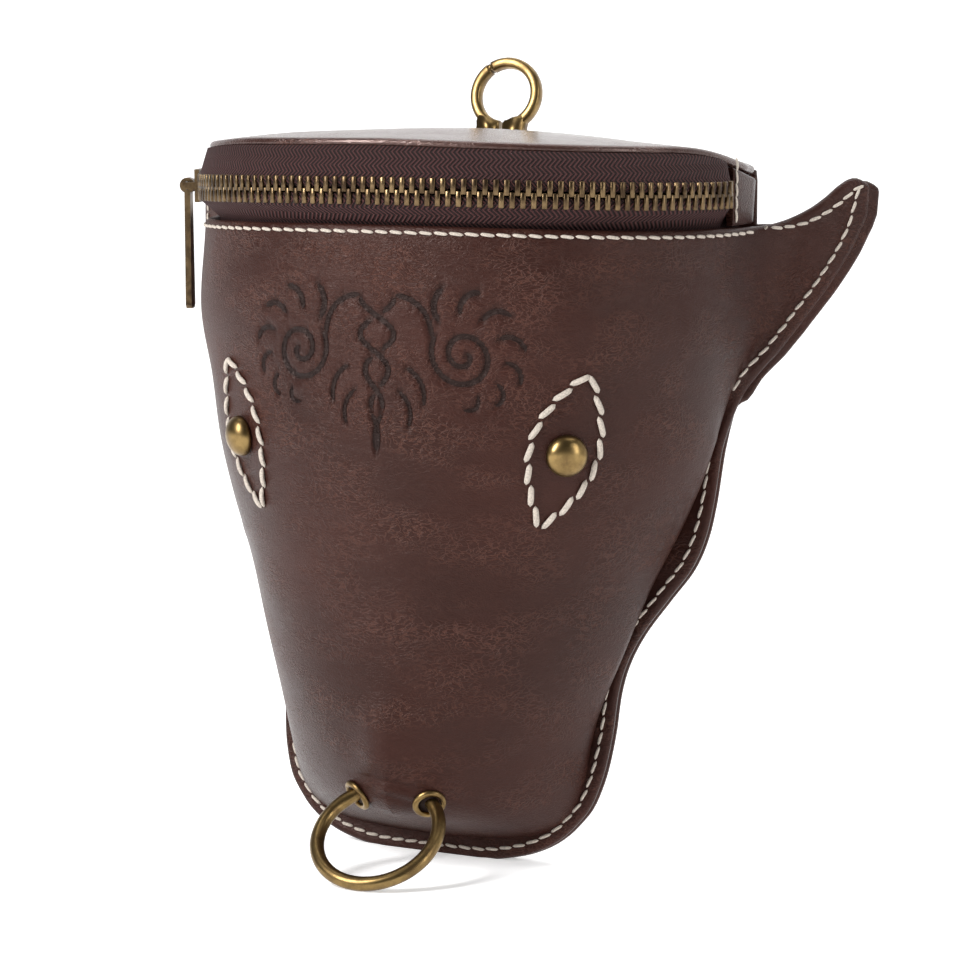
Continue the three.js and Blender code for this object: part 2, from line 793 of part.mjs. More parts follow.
// The ring proper stands on a flared foot with a bar under it for the hanger
function snapRing() {
  const start = snapSlit + slitCut - 2 * Math.PI;
  const band = snapSlab([
    ...arcPoints(snapOuter, start, snapPin - pinCut, bandSteps),
    ...arcPoints(snapInner, snapPin - pinCut, start, bandSteps),
  ]);
  const inside = hangerWidth / 2 + clearance;
  const half = inside + snapBand;
  const low = -snapBarDrop - snapBarRadius;
  const roof = -snapBarDrop + snapBarRadius + snapBarRoom;
  const frame = snapSlab([
    new THREE.Vector2(-half, -snapNeck),
    new THREE.Vector2(-half, low),
    new THREE.Vector2(half, low),
    new THREE.Vector2(half, -snapNeck),
  ], [
    new THREE.Vector2(-inside, -snapNeck - snapBand),
    new THREE.Vector2(-inside, roof),
    new THREE.Vector2(inside, roof),
    new THREE.Vector2(inside, -snapNeck - snapBand),
  ]);
  const room = new THREE.BoxGeometry(2 * inside, 2 * snapDepth, 2 * (snapBarRadius + snapBarRoom));
  room.translate(0, 0, -snapBarDrop);
  const bar = new THREE.CylinderGeometry(snapBarRadius, snapBarRadius, 2 * inside + knuckle, roundSteps);
  bar.rotateZ(Math.PI / 2);
  bar.translate(0, 0, -snapBarDrop);
  const earDepth = snapDepth / 3 - clearance / 2;
  const earPlace = (snapDepth - earDepth) / 2;
  const ears = [-earPlace, earPlace].flatMap((y) => hingeTab(snapPin - pinCut - slitCut, earDepth, y));
  const pin = disc(snapPinRadius, snapDepth, pinPlace);
  return join(cut(join(band, snapSlab(footPoints(1, -snapNeck)), frame), room), bar, ...ears, pin);
}

// The gate swings about its pin, which is its origin
function snapGate() {
  const end = snapSlit - slitCut;
  const band = snapSlab([
    ...arcPoints(snapOuter, snapPin + pinCut, end, bandSteps),
    ...arcPoints(snapInner, end, snapPin + pinCut, bandSteps),
  ]);
  const foot = snapSlab(footPoints(-1, -snapNeck + clearance).reverse());
  const tongue = hingeTab(snapPin + pinCut + slitCut, snapDepth / 3 - clearance, 0);
  const bore = disc(snapPinRadius + pinFit, snapDepth, pinPlace);
  const gate = cut(join(band, foot, ...tongue), bore);
  gate.translate(-pinPlace.x, 0, -pinPlace.y);
  return gate;
}

// Leather hanger, folded round the bar of the snap ring and sewn to the back
function hanger() {
  const eye = snapBarRadius + clearance;
  const outer = eye + hangerThickness;
  const behind = snapStandoff - backWall - clearance * 1.5;
  const front = -behind + 2 * hangerThickness;
  const shape = new THREE.Shape();
  shape.moveTo(-behind, 0);
  shape.absarc(0, 0, outer, Math.PI - 0.3, 0, true);
  shape.lineTo(outer, -hangerLength * 0.3);
  shape.lineTo(front + clearance, -hangerLength * 0.45);
  shape.lineTo(front, -hangerLength);
  shape.lineTo(-behind, -hangerLength);
  shape.closePath();
  shape.holes.push(new THREE.Path().absarc(0, 0, eye, 0, 2 * Math.PI, false));
  const geometry = new THREE.ExtrudeGeometry(shape, {
    depth: hangerWidth, bevelEnabled: false, curveSegments: roundSteps / 2,
  });
  geometry.rotateX(Math.PI / 2);
  geometry.rotateZ(Math.PI / 2);
  geometry.translate(-hangerWidth / 2, 0, 0);
  return geometry;
}

// Slider: two plates joined by a post between the tapes, with a crown bar.
// X runs along the zip, Y points out of the pouch.
function slider() {
  const gap = toothDepth / 2 + clearance;
  const outer = new THREE.BoxGeometry(sliderLength, sliderPlate, sliderHeight);
  outer.translate(0, gap + sliderPlate / 2, 0);
  const inner = new THREE.BoxGeometry(sliderLength, sliderPlate, sliderHeight);
  inner.translate(0, -gap - sliderPlate / 2, 0);
  const post = new THREE.BoxGeometry(sliderLength * 0.6, 2 * gap + sliderPlate, chainHalf);
  const face = gap + sliderPlate;
  const parts = [outer, inner, post];
  for (const end of [-1, 1]) {
    const tall = crownHeight + crownRadius + pinFit;
    const leg = new THREE.BoxGeometry(crownLeg, tall, 2 * (crownRadius + pinFit));
    leg.translate(end * (sliderLength / 2 - crownLeg * 0.75), face + tall / 2 - pinFit, 0);
    parts.push(leg);
  }
  const bar = new THREE.CylinderGeometry(crownRadius, crownRadius, sliderLength - crownLeg, roundSteps);
  bar.rotateZ(Math.PI / 2);
  bar.translate(0, face + crownHeight, 0);
  return join(...parts, bar);
}

// Pull: a bar that widens downwards, hung by its eye on the crown bar
function pull() {
  const eye = crownRadius + clearance;
  const bar = new THREE.Shape();
  const top = pullWidth * 0.34;
  bar.moveTo(-top, 0);
  bar.lineTo(-pullWidth / 2, -pullLength + pullCorner);
  bar.lineTo(-pullWidth / 2 + pullCorner, -pullLength);
  bar.lineTo(pullWidth / 2 - pullCorner, -pullLength);
  bar.lineTo(pullWidth / 2, -pullLength + pullCorner);
  bar.lineTo(top, 0);
  const blade = new THREE.ExtrudeGeometry(bar, { depth: pullThickness, bevelEnabled: false });
  blade.rotateX(Math.PI / 2);
  blade.translate(0, pullThickness / 2, 0);
  const eyeRound = new THREE.CylinderGeometry(pullHead, pullHead, 2 * top, roundSteps);
  eyeRound.rotateZ(Math.PI / 2);
  const bore = new THREE.CylinderGeometry(eye, eye, pullWidth * 2, roundSteps);
  bore.rotateZ(Math.PI / 2);
  return cut(join(blade, eyeRound), bore);
}

function endTab(side) {
  const reach = turnAt(endTabReach, side);
  const [from, to] = side > 0 ? [0, reach] : [reach, Math.PI];
  return mouthStrip(from, to, (turn) => {
    const place = mouthPoint(0, turn, lidLevel);
    const high = lidUnder(place.x, place.y) - 1.5 * clearance;
    const low = levelAt(lipLevel, place.x) + clearance;
    return [
      [0, low],
      [endTabThickness, low],
      [endTabThickness, high],
      [0, high],
    ];
  });
}

// Assembly

function mesh(name, geometry, look) {
  const material = new THREE.MeshStandardMaterial(look);
  const part = new THREE.Mesh(geometry, material);
  part.name = name;
  return part;
}

const pouch = new THREE.Group();

const leaning = new THREE.Group();
leaning.rotation.x = -mouthTilt;
pouch.add(leaning);
leaning.add(mesh('front_panel', frontPanel(), leather));
leaning.add(mesh('back_panel', backPanel(), leather));

for (const [side, word] of [[1, 'right'], [-1, 'left']]) {
  const eye = mesh(`eye_stud_${word}`, stud(), brass);
  eye.applyMatrix4(seatOn(eyePlace, side));
  leaning.add(eye);
  const nostril = mesh(`eyelet_${word}`, eyelet(), brass);
  nostril.applyMatrix4(seatOn(nostrilPlace, side));
  leaning.add(nostril);
}

const ring = mesh('nose_ring', noseRing(), brass);
ring.position.set(0, nosePlane.centre.y, nosePlane.centre.z);
ring.rotation.x = lean - nosePlane.tilt;
leaning.add(ring);

const snap = new THREE.Group();
snap.position.set(snapShift, snapStandoff, seamHeight + snapRise);
leaning.add(snap);
snap.add(mesh('snap_ring', snapRing(), brass));
const gate = mesh('snap_gate', snapGate(), brass);
gate.position.set(pinPlace.x, 0, pinPlace.y);
snap.add(gate);
const strap = mesh('hanger', hanger(), leather);
strap.position.set(0, 0, -snapBarDrop);
snap.add(strap);

pouch.add(mesh('lid', loft(lidRings(0, lidThickness, 0)), leather));
pouch.add(mesh('zip_tape_upper', upperTape(), tapeCloth));
pouch.add(mesh('zip_tape_lower', lowerTape(), tapeCloth));
pouch.add(mesh('zip_teeth_upper', teeth(1), brass));
pouch.add(mesh('zip_teeth_lower', teeth(-1), brass));
pouch.add(mesh('zip_end_right', endTab(1), leather));
pouch.add(mesh('zip_end_left', endTab(-1), leather));

const zipHead = new THREE.Group();
const headAt = mouthPoint(chainInset(sliderTurn), sliderTurn, chainLevel);
const headAhead = mouthPoint(chainInset(sliderTurn), sliderTurn - 0.02, chainLevel).sub(headAt);
headAt.z = levelAt(chainLevel, headAt.x);
zipHead.position.copy(headAt);
zipHead.rotation.z = Math.atan2(headAhead.y, headAhead.x) + Math.PI;
pouch.add(zipHead);
zipHead.add(mesh('zip_slider', slider(), brass));
const tag = mesh('zip_pull', pull(), brass);
tag.position.y = toothDepth / 2 + clearance + sliderPlate + crownHeight;
zipHead.add(tag);

// Origin under the middle of the whole
pouch.rotation.x = mouthTilt - lean;
const extent = new THREE.Box3().setFromObject(pouch, true);
pouch.position.y = -(extent.min.y + extent.max.y) / 2;
pouch.position.z = -extent.min.z;
const whole = new THREE.Group();
whole.add(pouch);

export default whole;
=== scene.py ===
# The look of the bull's head belt pouch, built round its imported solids.
# Lengths are in millimetres until a mesh is made. Two frames are used: the back
# frame, with Y = 0 on the inside of the back panel, and the mouth frame, in
# which the lid and the zip are level.
import math

import bmesh
import bpy
import numpy as np
from mathutils import Matrix, Vector
from mathutils.bvhtree import BVHTree


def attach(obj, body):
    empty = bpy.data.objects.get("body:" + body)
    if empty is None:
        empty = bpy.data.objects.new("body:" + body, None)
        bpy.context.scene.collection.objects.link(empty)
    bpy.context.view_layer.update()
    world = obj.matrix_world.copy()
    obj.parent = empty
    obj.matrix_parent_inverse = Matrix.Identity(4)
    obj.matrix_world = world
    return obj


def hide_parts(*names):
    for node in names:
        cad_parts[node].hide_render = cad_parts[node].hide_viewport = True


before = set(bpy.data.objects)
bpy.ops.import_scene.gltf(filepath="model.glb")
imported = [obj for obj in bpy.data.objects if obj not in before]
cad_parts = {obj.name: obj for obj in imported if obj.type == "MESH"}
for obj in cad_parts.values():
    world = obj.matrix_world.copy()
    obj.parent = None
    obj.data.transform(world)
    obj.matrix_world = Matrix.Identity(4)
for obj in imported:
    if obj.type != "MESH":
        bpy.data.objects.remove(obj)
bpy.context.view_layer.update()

stand = {"lean": 10.2, "mouthTilt": 14.0, "shift": -1.475}
sizes = {"seamHeight": 159.0, "mouthHalfWidth": 70.0, "mouthDepth": 67.6, "wall": 2.4,
         "backWall": 2.0, "gap": 0.3, "lip": 156.3, "sideDroop": 2.0, "chain": 164.0}

lean = math.radians(stand["lean"])
tilt = math.radians(stand["mouthTilt"])


def turnX(points, angle):
    points = np.asarray(points, float)
    c, s = math.cos(angle), math.sin(angle)
    y, z = points[..., 1], points[..., 2]
    return np.stack([points[..., 0], y * c - z * s, y * s + z * c], -1)


def fromBack(points):
    placed = turnX(points, -lean)
    placed[..., 1] += stand["shift"]
    return placed * 0.001


def fromMouth(points):
    return fromBack(turnX(points, tilt))


def mouthOf(points):  # back frame to mouth frame
    return turnX(points, -tilt)


# Shape tables
# The same shares of the named sizes as in the part: heights of seam and spine
# in seamHeight, base and girth in mouthHalfWidth, depth in mouthDepth.
bodyTable = {
    "seam": [1.05, .96, .824, .717, .616, .528, .428, .327, .226, .139, .082, .05, .032, .024, .022],
    "spine": [.944, .88, .79, .698, .604, .522, .428, .333, .239, .162, .114, .088, .07, .062, .058],
    "base": [.971, .971, .964, .929, .857, .764, .671, .6, .551, .553, .523, .452, .34, .17, 0],
    "girth": [1.0, 1.0, 1.01, .966, .919, .856, .761, .686, .607, .568, .53, .455, .342, .17, 0],
    "depth": [1.008, .987, .947, .9, .849, .793, .728, .663, .598, .545, .515, .492, .45, .42, .4],
    "square": [2.3, 2.3, 2.2, 2.05, 2, 1.95, 1.95, 1.95, 1.95, 1.65, 1.42, 1.36, 1.36, 1.4, 1.4],
}
outlineTable = {
    "out": [0, .2, .33, .42, .486, .536, .574, .599, .619, .634, .641, .664, .713, .794, .864,
            .903, .923, .936, .957, .971],
    "up": [-.006, -.005, .006, .022, .042, .066, .09, .119, .156, .21, .27, .318, .366, .42, .466,
           .513, .57, .651, .711, .724],
}
hornTable = {
    "reach": [-.08, 0, .16, .32, .46, .58, .68, .78, .865, .945, .985, 1],
    "low": [.75, .724, .765, .8, .838, .874, .905, .94, .975, 1.017, 1.046, 1.059],
    "high": [.994, 1, 1.003, 1.011, 1.022, 1.038, 1.056, 1.077, 1.089, 1.086, 1.08, 1.072],
}
hornShape = {"reach": 24.4, "sweep": 18.0}
lastRow = len(bodyTable["seam"]) - 1
tuckReach = 9.0


def readTable(table, name, at):
    values = np.asarray(table[name], float)
    at = np.clip(np.asarray(at, float), 0, len(values) - 1)
    i = np.minimum(at.astype(int), len(values) - 2)
    p = at - i
    before = np.where(i == 0, 1, i - 1)
    after = np.where(i == len(values) - 2, i, np.minimum(i + 2, len(values) - 1))
    return (values[before] * (-.5 * p**3 + p**2 - .5 * p) + values[i] * (1.5 * p**3 - 2.5 * p**2 + 1)
            + values[i + 1] * (-1.5 * p**3 + 2 * p**2 + .5 * p) + values[after] * (.5 * p**3 - .5 * p**2))


def bodyPoint(row, turn):
    row, turn = np.broadcast_arrays(np.asarray(row, float), np.asarray(turn, float))
    read = {name: readTable(bodyTable, name, row) for name in bodyTable}
    base = read["base"] * sizes["mouthHalfWidth"]
    girth = read["girth"] * sizes["mouthHalfWidth"]
    depth = read["depth"] * sizes["mouthDepth"]
    side = np.abs(np.cos(turn)) ** (2 / read["square"])
    out = np.abs(np.sin(turn)) ** (2 / read["square"])
    tuck = (girth - base) * (1 - np.minimum(1, out * depth / tuckReach)) ** 2
    x = np.maximum(0, girth * side - tuck) * np.sign(np.round(np.cos(turn), 9))
    y = -sizes["gap"] / 2 - depth * out
    z = (read["seam"] + (read["spine"] - read["seam"]) * out) * sizes["seamHeight"]
    return np.stack([x, y, z], -1)


def levelAt(height, x):
    return height - sizes["sideDroop"] * (x / sizes["mouthHalfWidth"]) ** 2


# Mesh tools

def meshFrom(name, points, faces, place, smooth=True):
    data = bpy.data.meshes.new(name)
    data.from_pydata([tuple(p) for p in place(np.asarray(points, float))], [], faces)
    data.validate()
    piece = bpy.data.objects.new(name, data)
    bpy.context.scene.collection.objects.link(piece)
    if smooth:
        data.polygons.foreach_set("use_smooth", [True] * len(data.polygons))
    return piece


def gridFaces(rows, columns, start=0, flip=False):
    faces = []
    for i in range(rows - 1):
        for j in range(columns - 1):
            a = start + i * columns + j
            quad = (a, a + 1, a + columns + 1, a + columns)
            faces.append(quad[::-1] if flip else quad)
    return faces


def loftFaces(rings, count, start=0):
    faces = []
    for i in range(rings - 1):
        for j in range(count):
            k = (j + 1) % count
            a = start + i * count
            faces.append((a + j, a + k, a + count + k, a + count + j))
    faces.append(tuple(start + j for j in range(count))[::-1])
    faces.append(tuple(start + (rings - 1) * count + j for j in range(count)))
    return faces


def faceOut(piece):
    bm = bmesh.new()
    bm.from_mesh(piece.data)
    bmesh.ops.recalc_face_normals(bm, faces=bm.faces)
    bm.to_mesh(piece.data)
    bm.free()
    return piece


def mergeGrid(points, faces, near=0.02):
    bm = bmesh.new()
    made = [bm.verts.new(p) for p in points]
    for face in faces:
        if len({made[i] for i in face}) > 2:
            bm.faces.new([made[i] for i in face])
    bmesh.ops.remove_doubles(bm, verts=bm.verts, dist=near)
    return bm


def rollEdge(bm, thickness, skirt=3.0, steps=5):
    bm.normal_update()
    radius = thickness / 2
    edges = [e for e in bm.edges if e.is_boundary]
    rim = {v for e in edges for v in e.verts}
    facing = {v: v.normal.copy() for v in rim}
    outward = {}
    for _ in range(2):
        facing = {v: sum((facing[e.other_vert(v)] for e in v.link_edges if e.is_boundary),
                         facing[v] * 2).normalized() for v in rim}
    for v in rim:
        ends = [e.other_vert(v).co for e in v.link_edges if e.is_boundary]
        along = (ends[0] - ends[-1]).normalized()
        away = along.cross(facing[v]).normalized()
        middle = sum((f.calc_center_median() for f in v.link_faces), Vector()) / len(v.link_faces)
        outward[v] = away if away.dot(v.co - middle) > 0 else -away
    before = {v: v for v in rim}
    order = [(e.link_loops[0].link_loop_next.vert, e.link_loops[0].vert) for e in edges]
    for k in range(1, steps + 2):
        if k <= steps:
            angle = math.pi * k / steps
            ring = {v: bm.verts.new(v.co - facing[v] * radius * (1 - math.cos(angle))
                                    + outward[v] * radius * math.sin(angle)) for v in rim}
        else:
            ring = {v: bm.verts.new(before[v].co - outward[v] * skirt) for v in rim}
        for a, b in order:
            bm.faces.new((before[a], before[b], ring[b], ring[a])).material_index = 1
        before = ring


def pieceFrom(name, bm, place):
    points = place(np.array([v.co[:] for v in bm.verts]))
    for v, p in zip(bm.verts, points):
        v.co = p
    for face in bm.faces:
        face.smooth = True
    data = bpy.data.meshes.new(name)
    bm.to_mesh(data)
    bm.free()
    piece = bpy.data.objects.new(name, data)
    bpy.context.scene.collection.objects.link(piece)
    return piece


# Materials

def newMaterial(name):
    material = bpy.data.materials.new(name)
    material.use_nodes = True
    tree = material.node_tree
    shader = tree.nodes["Principled BSDF"]
    return material, tree, shader


def addNode(tree, kind, settings=None, **inputs):
    node = tree.nodes.new(kind)
    for key, value in (settings or {}).items():
        setattr(node, key, value)
    for key, value in inputs.items():
        socket = node.inputs[int(key[1:])] if key[0] == "i" and key[1:].isdigit() else node.inputs[key]
        if hasattr(value, "is_output"):
            tree.links.new(value, socket)
        else:
            socket.default_value = value
    return node


def ramp(tree, factor, stops):
    node = tree.nodes.new("ShaderNodeValToRGB")
    tree.links.new(factor, node.inputs[0])
    while len(node.color_ramp.elements) < len(stops):
        node.color_ramp.elements.new(0.5)
    for element, (place, colour) in zip(node.color_ramp.elements, stops):
        element.position = place
        element.color = colour if len(colour) == 4 else (*colour, 1)
    return node.outputs[0]


def grey(value):
    return (value, value, value)


leatherLook = {"dark": (0.0195, 0.0068, 0.0052), "mid": (0.036, 0.0112, 0.0080),
               "vein": (0.125, 0.052, 0.036), "rough": (0.28, 0.43), "shine": 0.22,
               "grain": 1.0, "pebble": 1500.0, "crease": 820.0}


def leatherMaterial(name, look, grooveShadeMask=None, grainTurn=0.0):
    material, tree, shader = newMaterial(name)
    place = addNode(tree, "ShaderNodeTexCoord").outputs["Object"]
    turned = addNode(tree, "ShaderNodeMapping", Vector=place, Rotation=(0, grainTurn, 0.3),
                     Scale=(0.62, 0.8, 1.25)).outputs[0]
    drift = addNode(tree, "ShaderNodeTexNoise", Vector=place, Scale=26.0, Detail=4.0).outputs["Fac"]
    patch = ramp(tree, drift, [(0.3, grey(0)), (0.74, grey(1))])
    wander = addNode(tree, "ShaderNodeTexNoise", Vector=turned, Scale=190.0, Detail=5.0)
    bent = addNode(tree, "ShaderNodeVectorMath", {"operation": "MULTIPLY_ADD"}, i0=wander.outputs["Color"],
                   i1=(0.0085, 0.0085, 0.0085), i2=turned).outputs[0]
    crease = addNode(tree, "ShaderNodeTexVoronoi", {"feature": "DISTANCE_TO_EDGE"}, Vector=bent,
                     Scale=look["crease"]).outputs["Distance"]
    pebble = addNode(tree, "ShaderNodeTexVoronoi", {"feature": "DISTANCE_TO_EDGE"}, Vector=bent,
                     Scale=look["pebble"]).outputs["Distance"]
    line = ramp(tree, crease, [(0.0, grey(1)), (0.13, grey(0))])
    spread = addNode(tree, "ShaderNodeTexNoise", Vector=turned, Scale=85.0, Detail=3.0).outputs["Fac"]
    where = ramp(tree, spread, [(0.42, grey(0.12)), (0.64, grey(1))])
    veins = addNode(tree, "ShaderNodeMath", {"operation": "MULTIPLY"}, i0=line, i1=where).outputs[0]
    veinShare = addNode(tree, "ShaderNodeMath", {"operation": "MULTIPLY"}, i0=veins, i1=0.42).outputs[0]
    base = addNode(tree, "ShaderNodeMix", {"data_type": "RGBA"})
    tree.links.new(patch, base.inputs[0])
    base.inputs[6].default_value = (*look["dark"], 1)
    base.inputs[7].default_value = (*look["mid"], 1)
    lit = addNode(tree, "ShaderNodeMix", {"data_type": "RGBA"})
    tree.links.new(veinShare, lit.inputs[0])
    tree.links.new(base.outputs[2], lit.inputs[6])
    lit.inputs[7].default_value = (*look["vein"], 1)
    colour = lit.outputs[2]
    low, high = look["rough"]
    rough = addNode(tree, "ShaderNodeMapRange", Value=patch, i3=low, i4=high).outputs[0]
    # Painted shade in the pressed grooves: where the mask attribute given here is set, the colour is mixed
    # towards a far darker brown.
    if grooveShadeMask:
        pressed = addNode(tree, "ShaderNodeAttribute", {"attribute_name": grooveShadeMask}).outputs["Fac"]
        share = addNode(tree, "ShaderNodeMath", {"operation": "MULTIPLY"}, i0=pressed, i1=0.6).outputs[0]
        deep = addNode(tree, "ShaderNodeMix", {"data_type": "RGBA"})
        tree.links.new(share, deep.inputs[0])
        tree.links.new(colour, deep.inputs[6])
        deep.inputs[7].default_value = (*[c * 0.4 for c in look["dark"]], 1)
        colour = deep.outputs[2]
    tree.links.new(colour, shader.inputs["Base Color"])
    tree.links.new(rough, shader.inputs["Roughness"])
    cell = ramp(tree, pebble, [(0.0, grey(0)), (0.25, grey(1))])
    ridge = ramp(tree, crease, [(0.0, grey(0)), (0.16, grey(1))])
    folds = addNode(tree, "ShaderNodeMath", {"operation": "MULTIPLY"}, i0=ridge, i1=where).outputs[0]
    first = addNode(tree, "ShaderNodeBump", Strength=0.3 * look["grain"], Distance=0.00016, Height=cell)
    second = addNode(tree, "ShaderNodeBump", Strength=0.55 * look["grain"], Distance=0.0003, Height=folds,
                     Normal=first.outputs[0])
    tree.links.new(second.outputs[0], shader.inputs["Normal"])
    shader.inputs["Specular IOR Level"].default_value = look["shine"]
    shader.inputs["Specular Tint"].default_value = (1.0, 0.76, 0.70, 1)
    return material


brassLook = {"bright": (0.26, 0.175, 0.070), "dull": (0.13, 0.083, 0.036), "rough": (0.3, 0.42),
             "patch": 210.0}


def brassMaterial(name, look):
    material, tree, shader = newMaterial(name)
    place = addNode(tree, "ShaderNodeTexCoord").outputs["Object"]
    patch = addNode(tree, "ShaderNodeTexNoise", Vector=place, Scale=look["patch"], Detail=5.0,
                    Roughness=0.62).outputs["Fac"]
    speck = addNode(tree, "ShaderNodeTexNoise", Vector=place, Scale=1900.0, Detail=2.0).outputs["Fac"]
    worn = ramp(tree, patch, [(0.36, grey(0)), (0.6, grey(1))])
    mix = addNode(tree, "ShaderNodeMix", {"data_type": "RGBA"})
    tree.links.new(worn, mix.inputs[0])
    mix.inputs[6].default_value = (*look["dull"], 1)
    mix.inputs[7].default_value = (*look["bright"], 1)
    tree.links.new(mix.outputs[2], shader.inputs["Base Color"])
    rough = addNode(tree, "ShaderNodeMapRange", Value=worn, i3=look["rough"][1], i4=look["rough"][0])
    tree.links.new(rough.outputs[0], shader.inputs["Roughness"])
    bump = addNode(tree, "ShaderNodeBump", Strength=0.12, Distance=0.0001, Height=speck)
    tree.links.new(bump.outputs[0], shader.inputs["Normal"])
    shader.inputs["Metallic"].default_value = 1.0
    return material


def threadMaterial(name, colour):
    material, tree, shader = newMaterial(name)
    place = addNode(tree, "ShaderNodeTexCoord").outputs["Object"]
    fibre = addNode(tree, "ShaderNodeTexNoise", Vector=place, Scale=2400.0, Detail=3.0).outputs["Fac"]
    tint = ramp(tree, fibre, [(0.3, tuple(c * 0.62 for c in colour)), (0.65, colour)])
    tree.links.new(tint, shader.inputs["Base Color"])
    shader.inputs["Roughness"].default_value = 0.8
    bump = addNode(tree, "ShaderNodeBump", Strength=0.5, Distance=0.0002, Height=fibre)
    tree.links.new(bump.outputs[0], shader.inputs["Normal"])
    return material


def tapeMaterial(name):
    material, tree, shader = newMaterial(name)
    across = addNode(tree, "ShaderNodeUVMap").outputs[0]
    parts = addNode(tree, "ShaderNodeSeparateXYZ", Vector=across)
    tooth = addNode(tree, "ShaderNodeMath", {"operation": "PINGPONG"}, i0=parts.outputs[1], i1=1.6).outputs[0]
    slope = addNode(tree, "ShaderNodeMath", {"operation": "ADD"}, i0=parts.outputs[0], i1=tooth).outputs[0]
    turns = addNode(tree, "ShaderNodeMath", {"operation": "MULTIPLY"}, i0=slope, i1=5.6).outputs[0]
    wave = addNode(tree, "ShaderNodeMath", {"operation": "SINE"}, i0=turns).outputs[0]
    height = addNode(tree, "ShaderNodeMapRange", Value=wave, i1=-1.0, i2=1.0, i3=0.0, i4=1.0).outputs[0]
    # painted shade: the tape is coloured darker where the twill height is low and lighter on the raised ribs
    tint = ramp(tree, height, [(0.15, (0.008, 0.0028, 0.0028)), (0.9, (0.062, 0.022, 0.021))])
    tree.links.new(tint, shader.inputs["Base Color"])
    shader.inputs["Roughness"].default_value = 0.8
    shader.inputs["Specular IOR Level"].default_value = 0.25
    bump = addNode(tree, "ShaderNodeBump", Strength=0.9, Distance=0.0004, Height=height)
    tree.links.new(bump.outputs[0], shader.inputs["Normal"])
    return material


leatherFront = leatherMaterial("leatherFront", leatherLook, grooveShadeMask="grooveShadeMask")
leatherPlain = leatherMaterial("leatherPlain", leatherLook, grainTurn=0.5)
# The lid's mid colour is lighter and greyer than the other leather: a painted sheen on the top of the lid.
lidSheenLook = dict(leatherLook, rough=(0.2, 0.28), shine=0.75, grain=0.55, mid=(0.070, 0.038, 0.034))
leatherLidSheen = leatherMaterial("leatherLidSheen", lidSheenLook, grainTurn=1.2)
# Near-black leather used as painted shade: laid over the pressed grooves and into the eyelet holes.
paintedShadeLeather = leatherMaterial(
    "paintedShadeLeather", dict(leatherLook, dark=(0.006, 0.003, 0.003), mid=(0.012, 0.006, 0.005),
                                                 vein=(0.03, 0.016, 0.013), rough=(0.36, 0.5)))
edgePaint = leatherMaterial(
    "edgePaint", dict(leatherLook, dark=(0.030, 0.0110, 0.0090), mid=(0.055, 0.0210, 0.0170),
                                               vein=(0.055, 0.022, 0.017), grain=0.2, rough=(0.36, 0.44)))
brass = brassMaterial("oldBrass", brassLook)
zipBrass = brassMaterial("zipBrass", dict(brassLook, bright=(0.17, 0.115, 0.06), dull=(0.05, 0.032, 0.019)))
thread = threadMaterial("creamThread", (0.56, 0.49, 0.42))
tapeCloth = tapeMaterial("tapeCloth")
print("materials ready")


def finishPiece(piece, material, body="root", replaces=(), edge=None):
    piece.data.materials.clear()
    piece.data.materials.append(material)
    if edge:
        piece.data.materials.append(edge)
    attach(piece, body)
    if replaces:
        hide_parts(*replaces)
    return piece


# Front leather
front = {"rows": 190, "columns": 330, "flange": 7, "hornColumns": 34, "lipRoll": 1.2}


def outlinePath(count=400):
    at = np.linspace(0, len(outlineTable["out"]) - 1, count)
    return np.stack([readTable(outlineTable, "out", at) * sizes["mouthHalfWidth"],
                     readTable(outlineTable, "up", at) * sizes["seamHeight"]], -1)


def insetPath(path, inset):
    along = np.gradient(path, axis=0)
    along /= np.linalg.norm(along, axis=1)[:, None]
    return path + np.stack([-along[:, 1], along[:, 0]], -1) * inset


def runOf(path):
    steps = np.linalg.norm(np.diff(path, axis=0), axis=1)
    run = np.concatenate([[0], np.cumsum(steps)])
    return run / run[-1]


def along(path, share):
    run = runOf(path)
    return np.stack([np.interp(share, run, path[:, k]) for k in range(path.shape[1])], -1)


def hornBack(reach):
    return hornShape["sweep"] * np.maximum(0, reach) ** 1.5


def hornGrid(rootHeights, y, inset, side, columns):
    reach = (np.linspace(0, 1, columns + 1)[1:]) ** 0.9
    reach = reach * (1 - inset / hornShape["reach"] * 0.8)
    share = (rootHeights - rootHeights[0]) / (rootHeights[-1] - rootHeights[0])
    points = np.zeros((len(rootHeights), columns, 3))
    at = np.interp(reach, hornTable["reach"], np.arange(len(hornTable["reach"])))
    low = readTable(hornTable, "low", at) * sizes["seamHeight"] + inset
    high = readTable(hornTable, "high", at) * sizes["seamHeight"] - inset
    middle = (low + high) / 2
    low, high = np.minimum(low, middle - 0.15), np.maximum(high, middle + 0.15)
    blend = np.clip(reach / 0.12, 0, 1)
    low = rootHeights[0] + (low - rootHeights[0]) * blend + (1 - blend) * (low - rootHeights[0]) * 0.6
    rootX = bodyTable["base"][0] * sizes["mouthHalfWidth"]
    for j in range(columns):
        points[:, j, 0] = side * (rootX + reach[j] * hornShape["reach"])
        points[:, j, 1] = y + hornBack(reach[j])
        points[:, j, 2] = low[j] + (high[j] - low[j]) * share
    return points


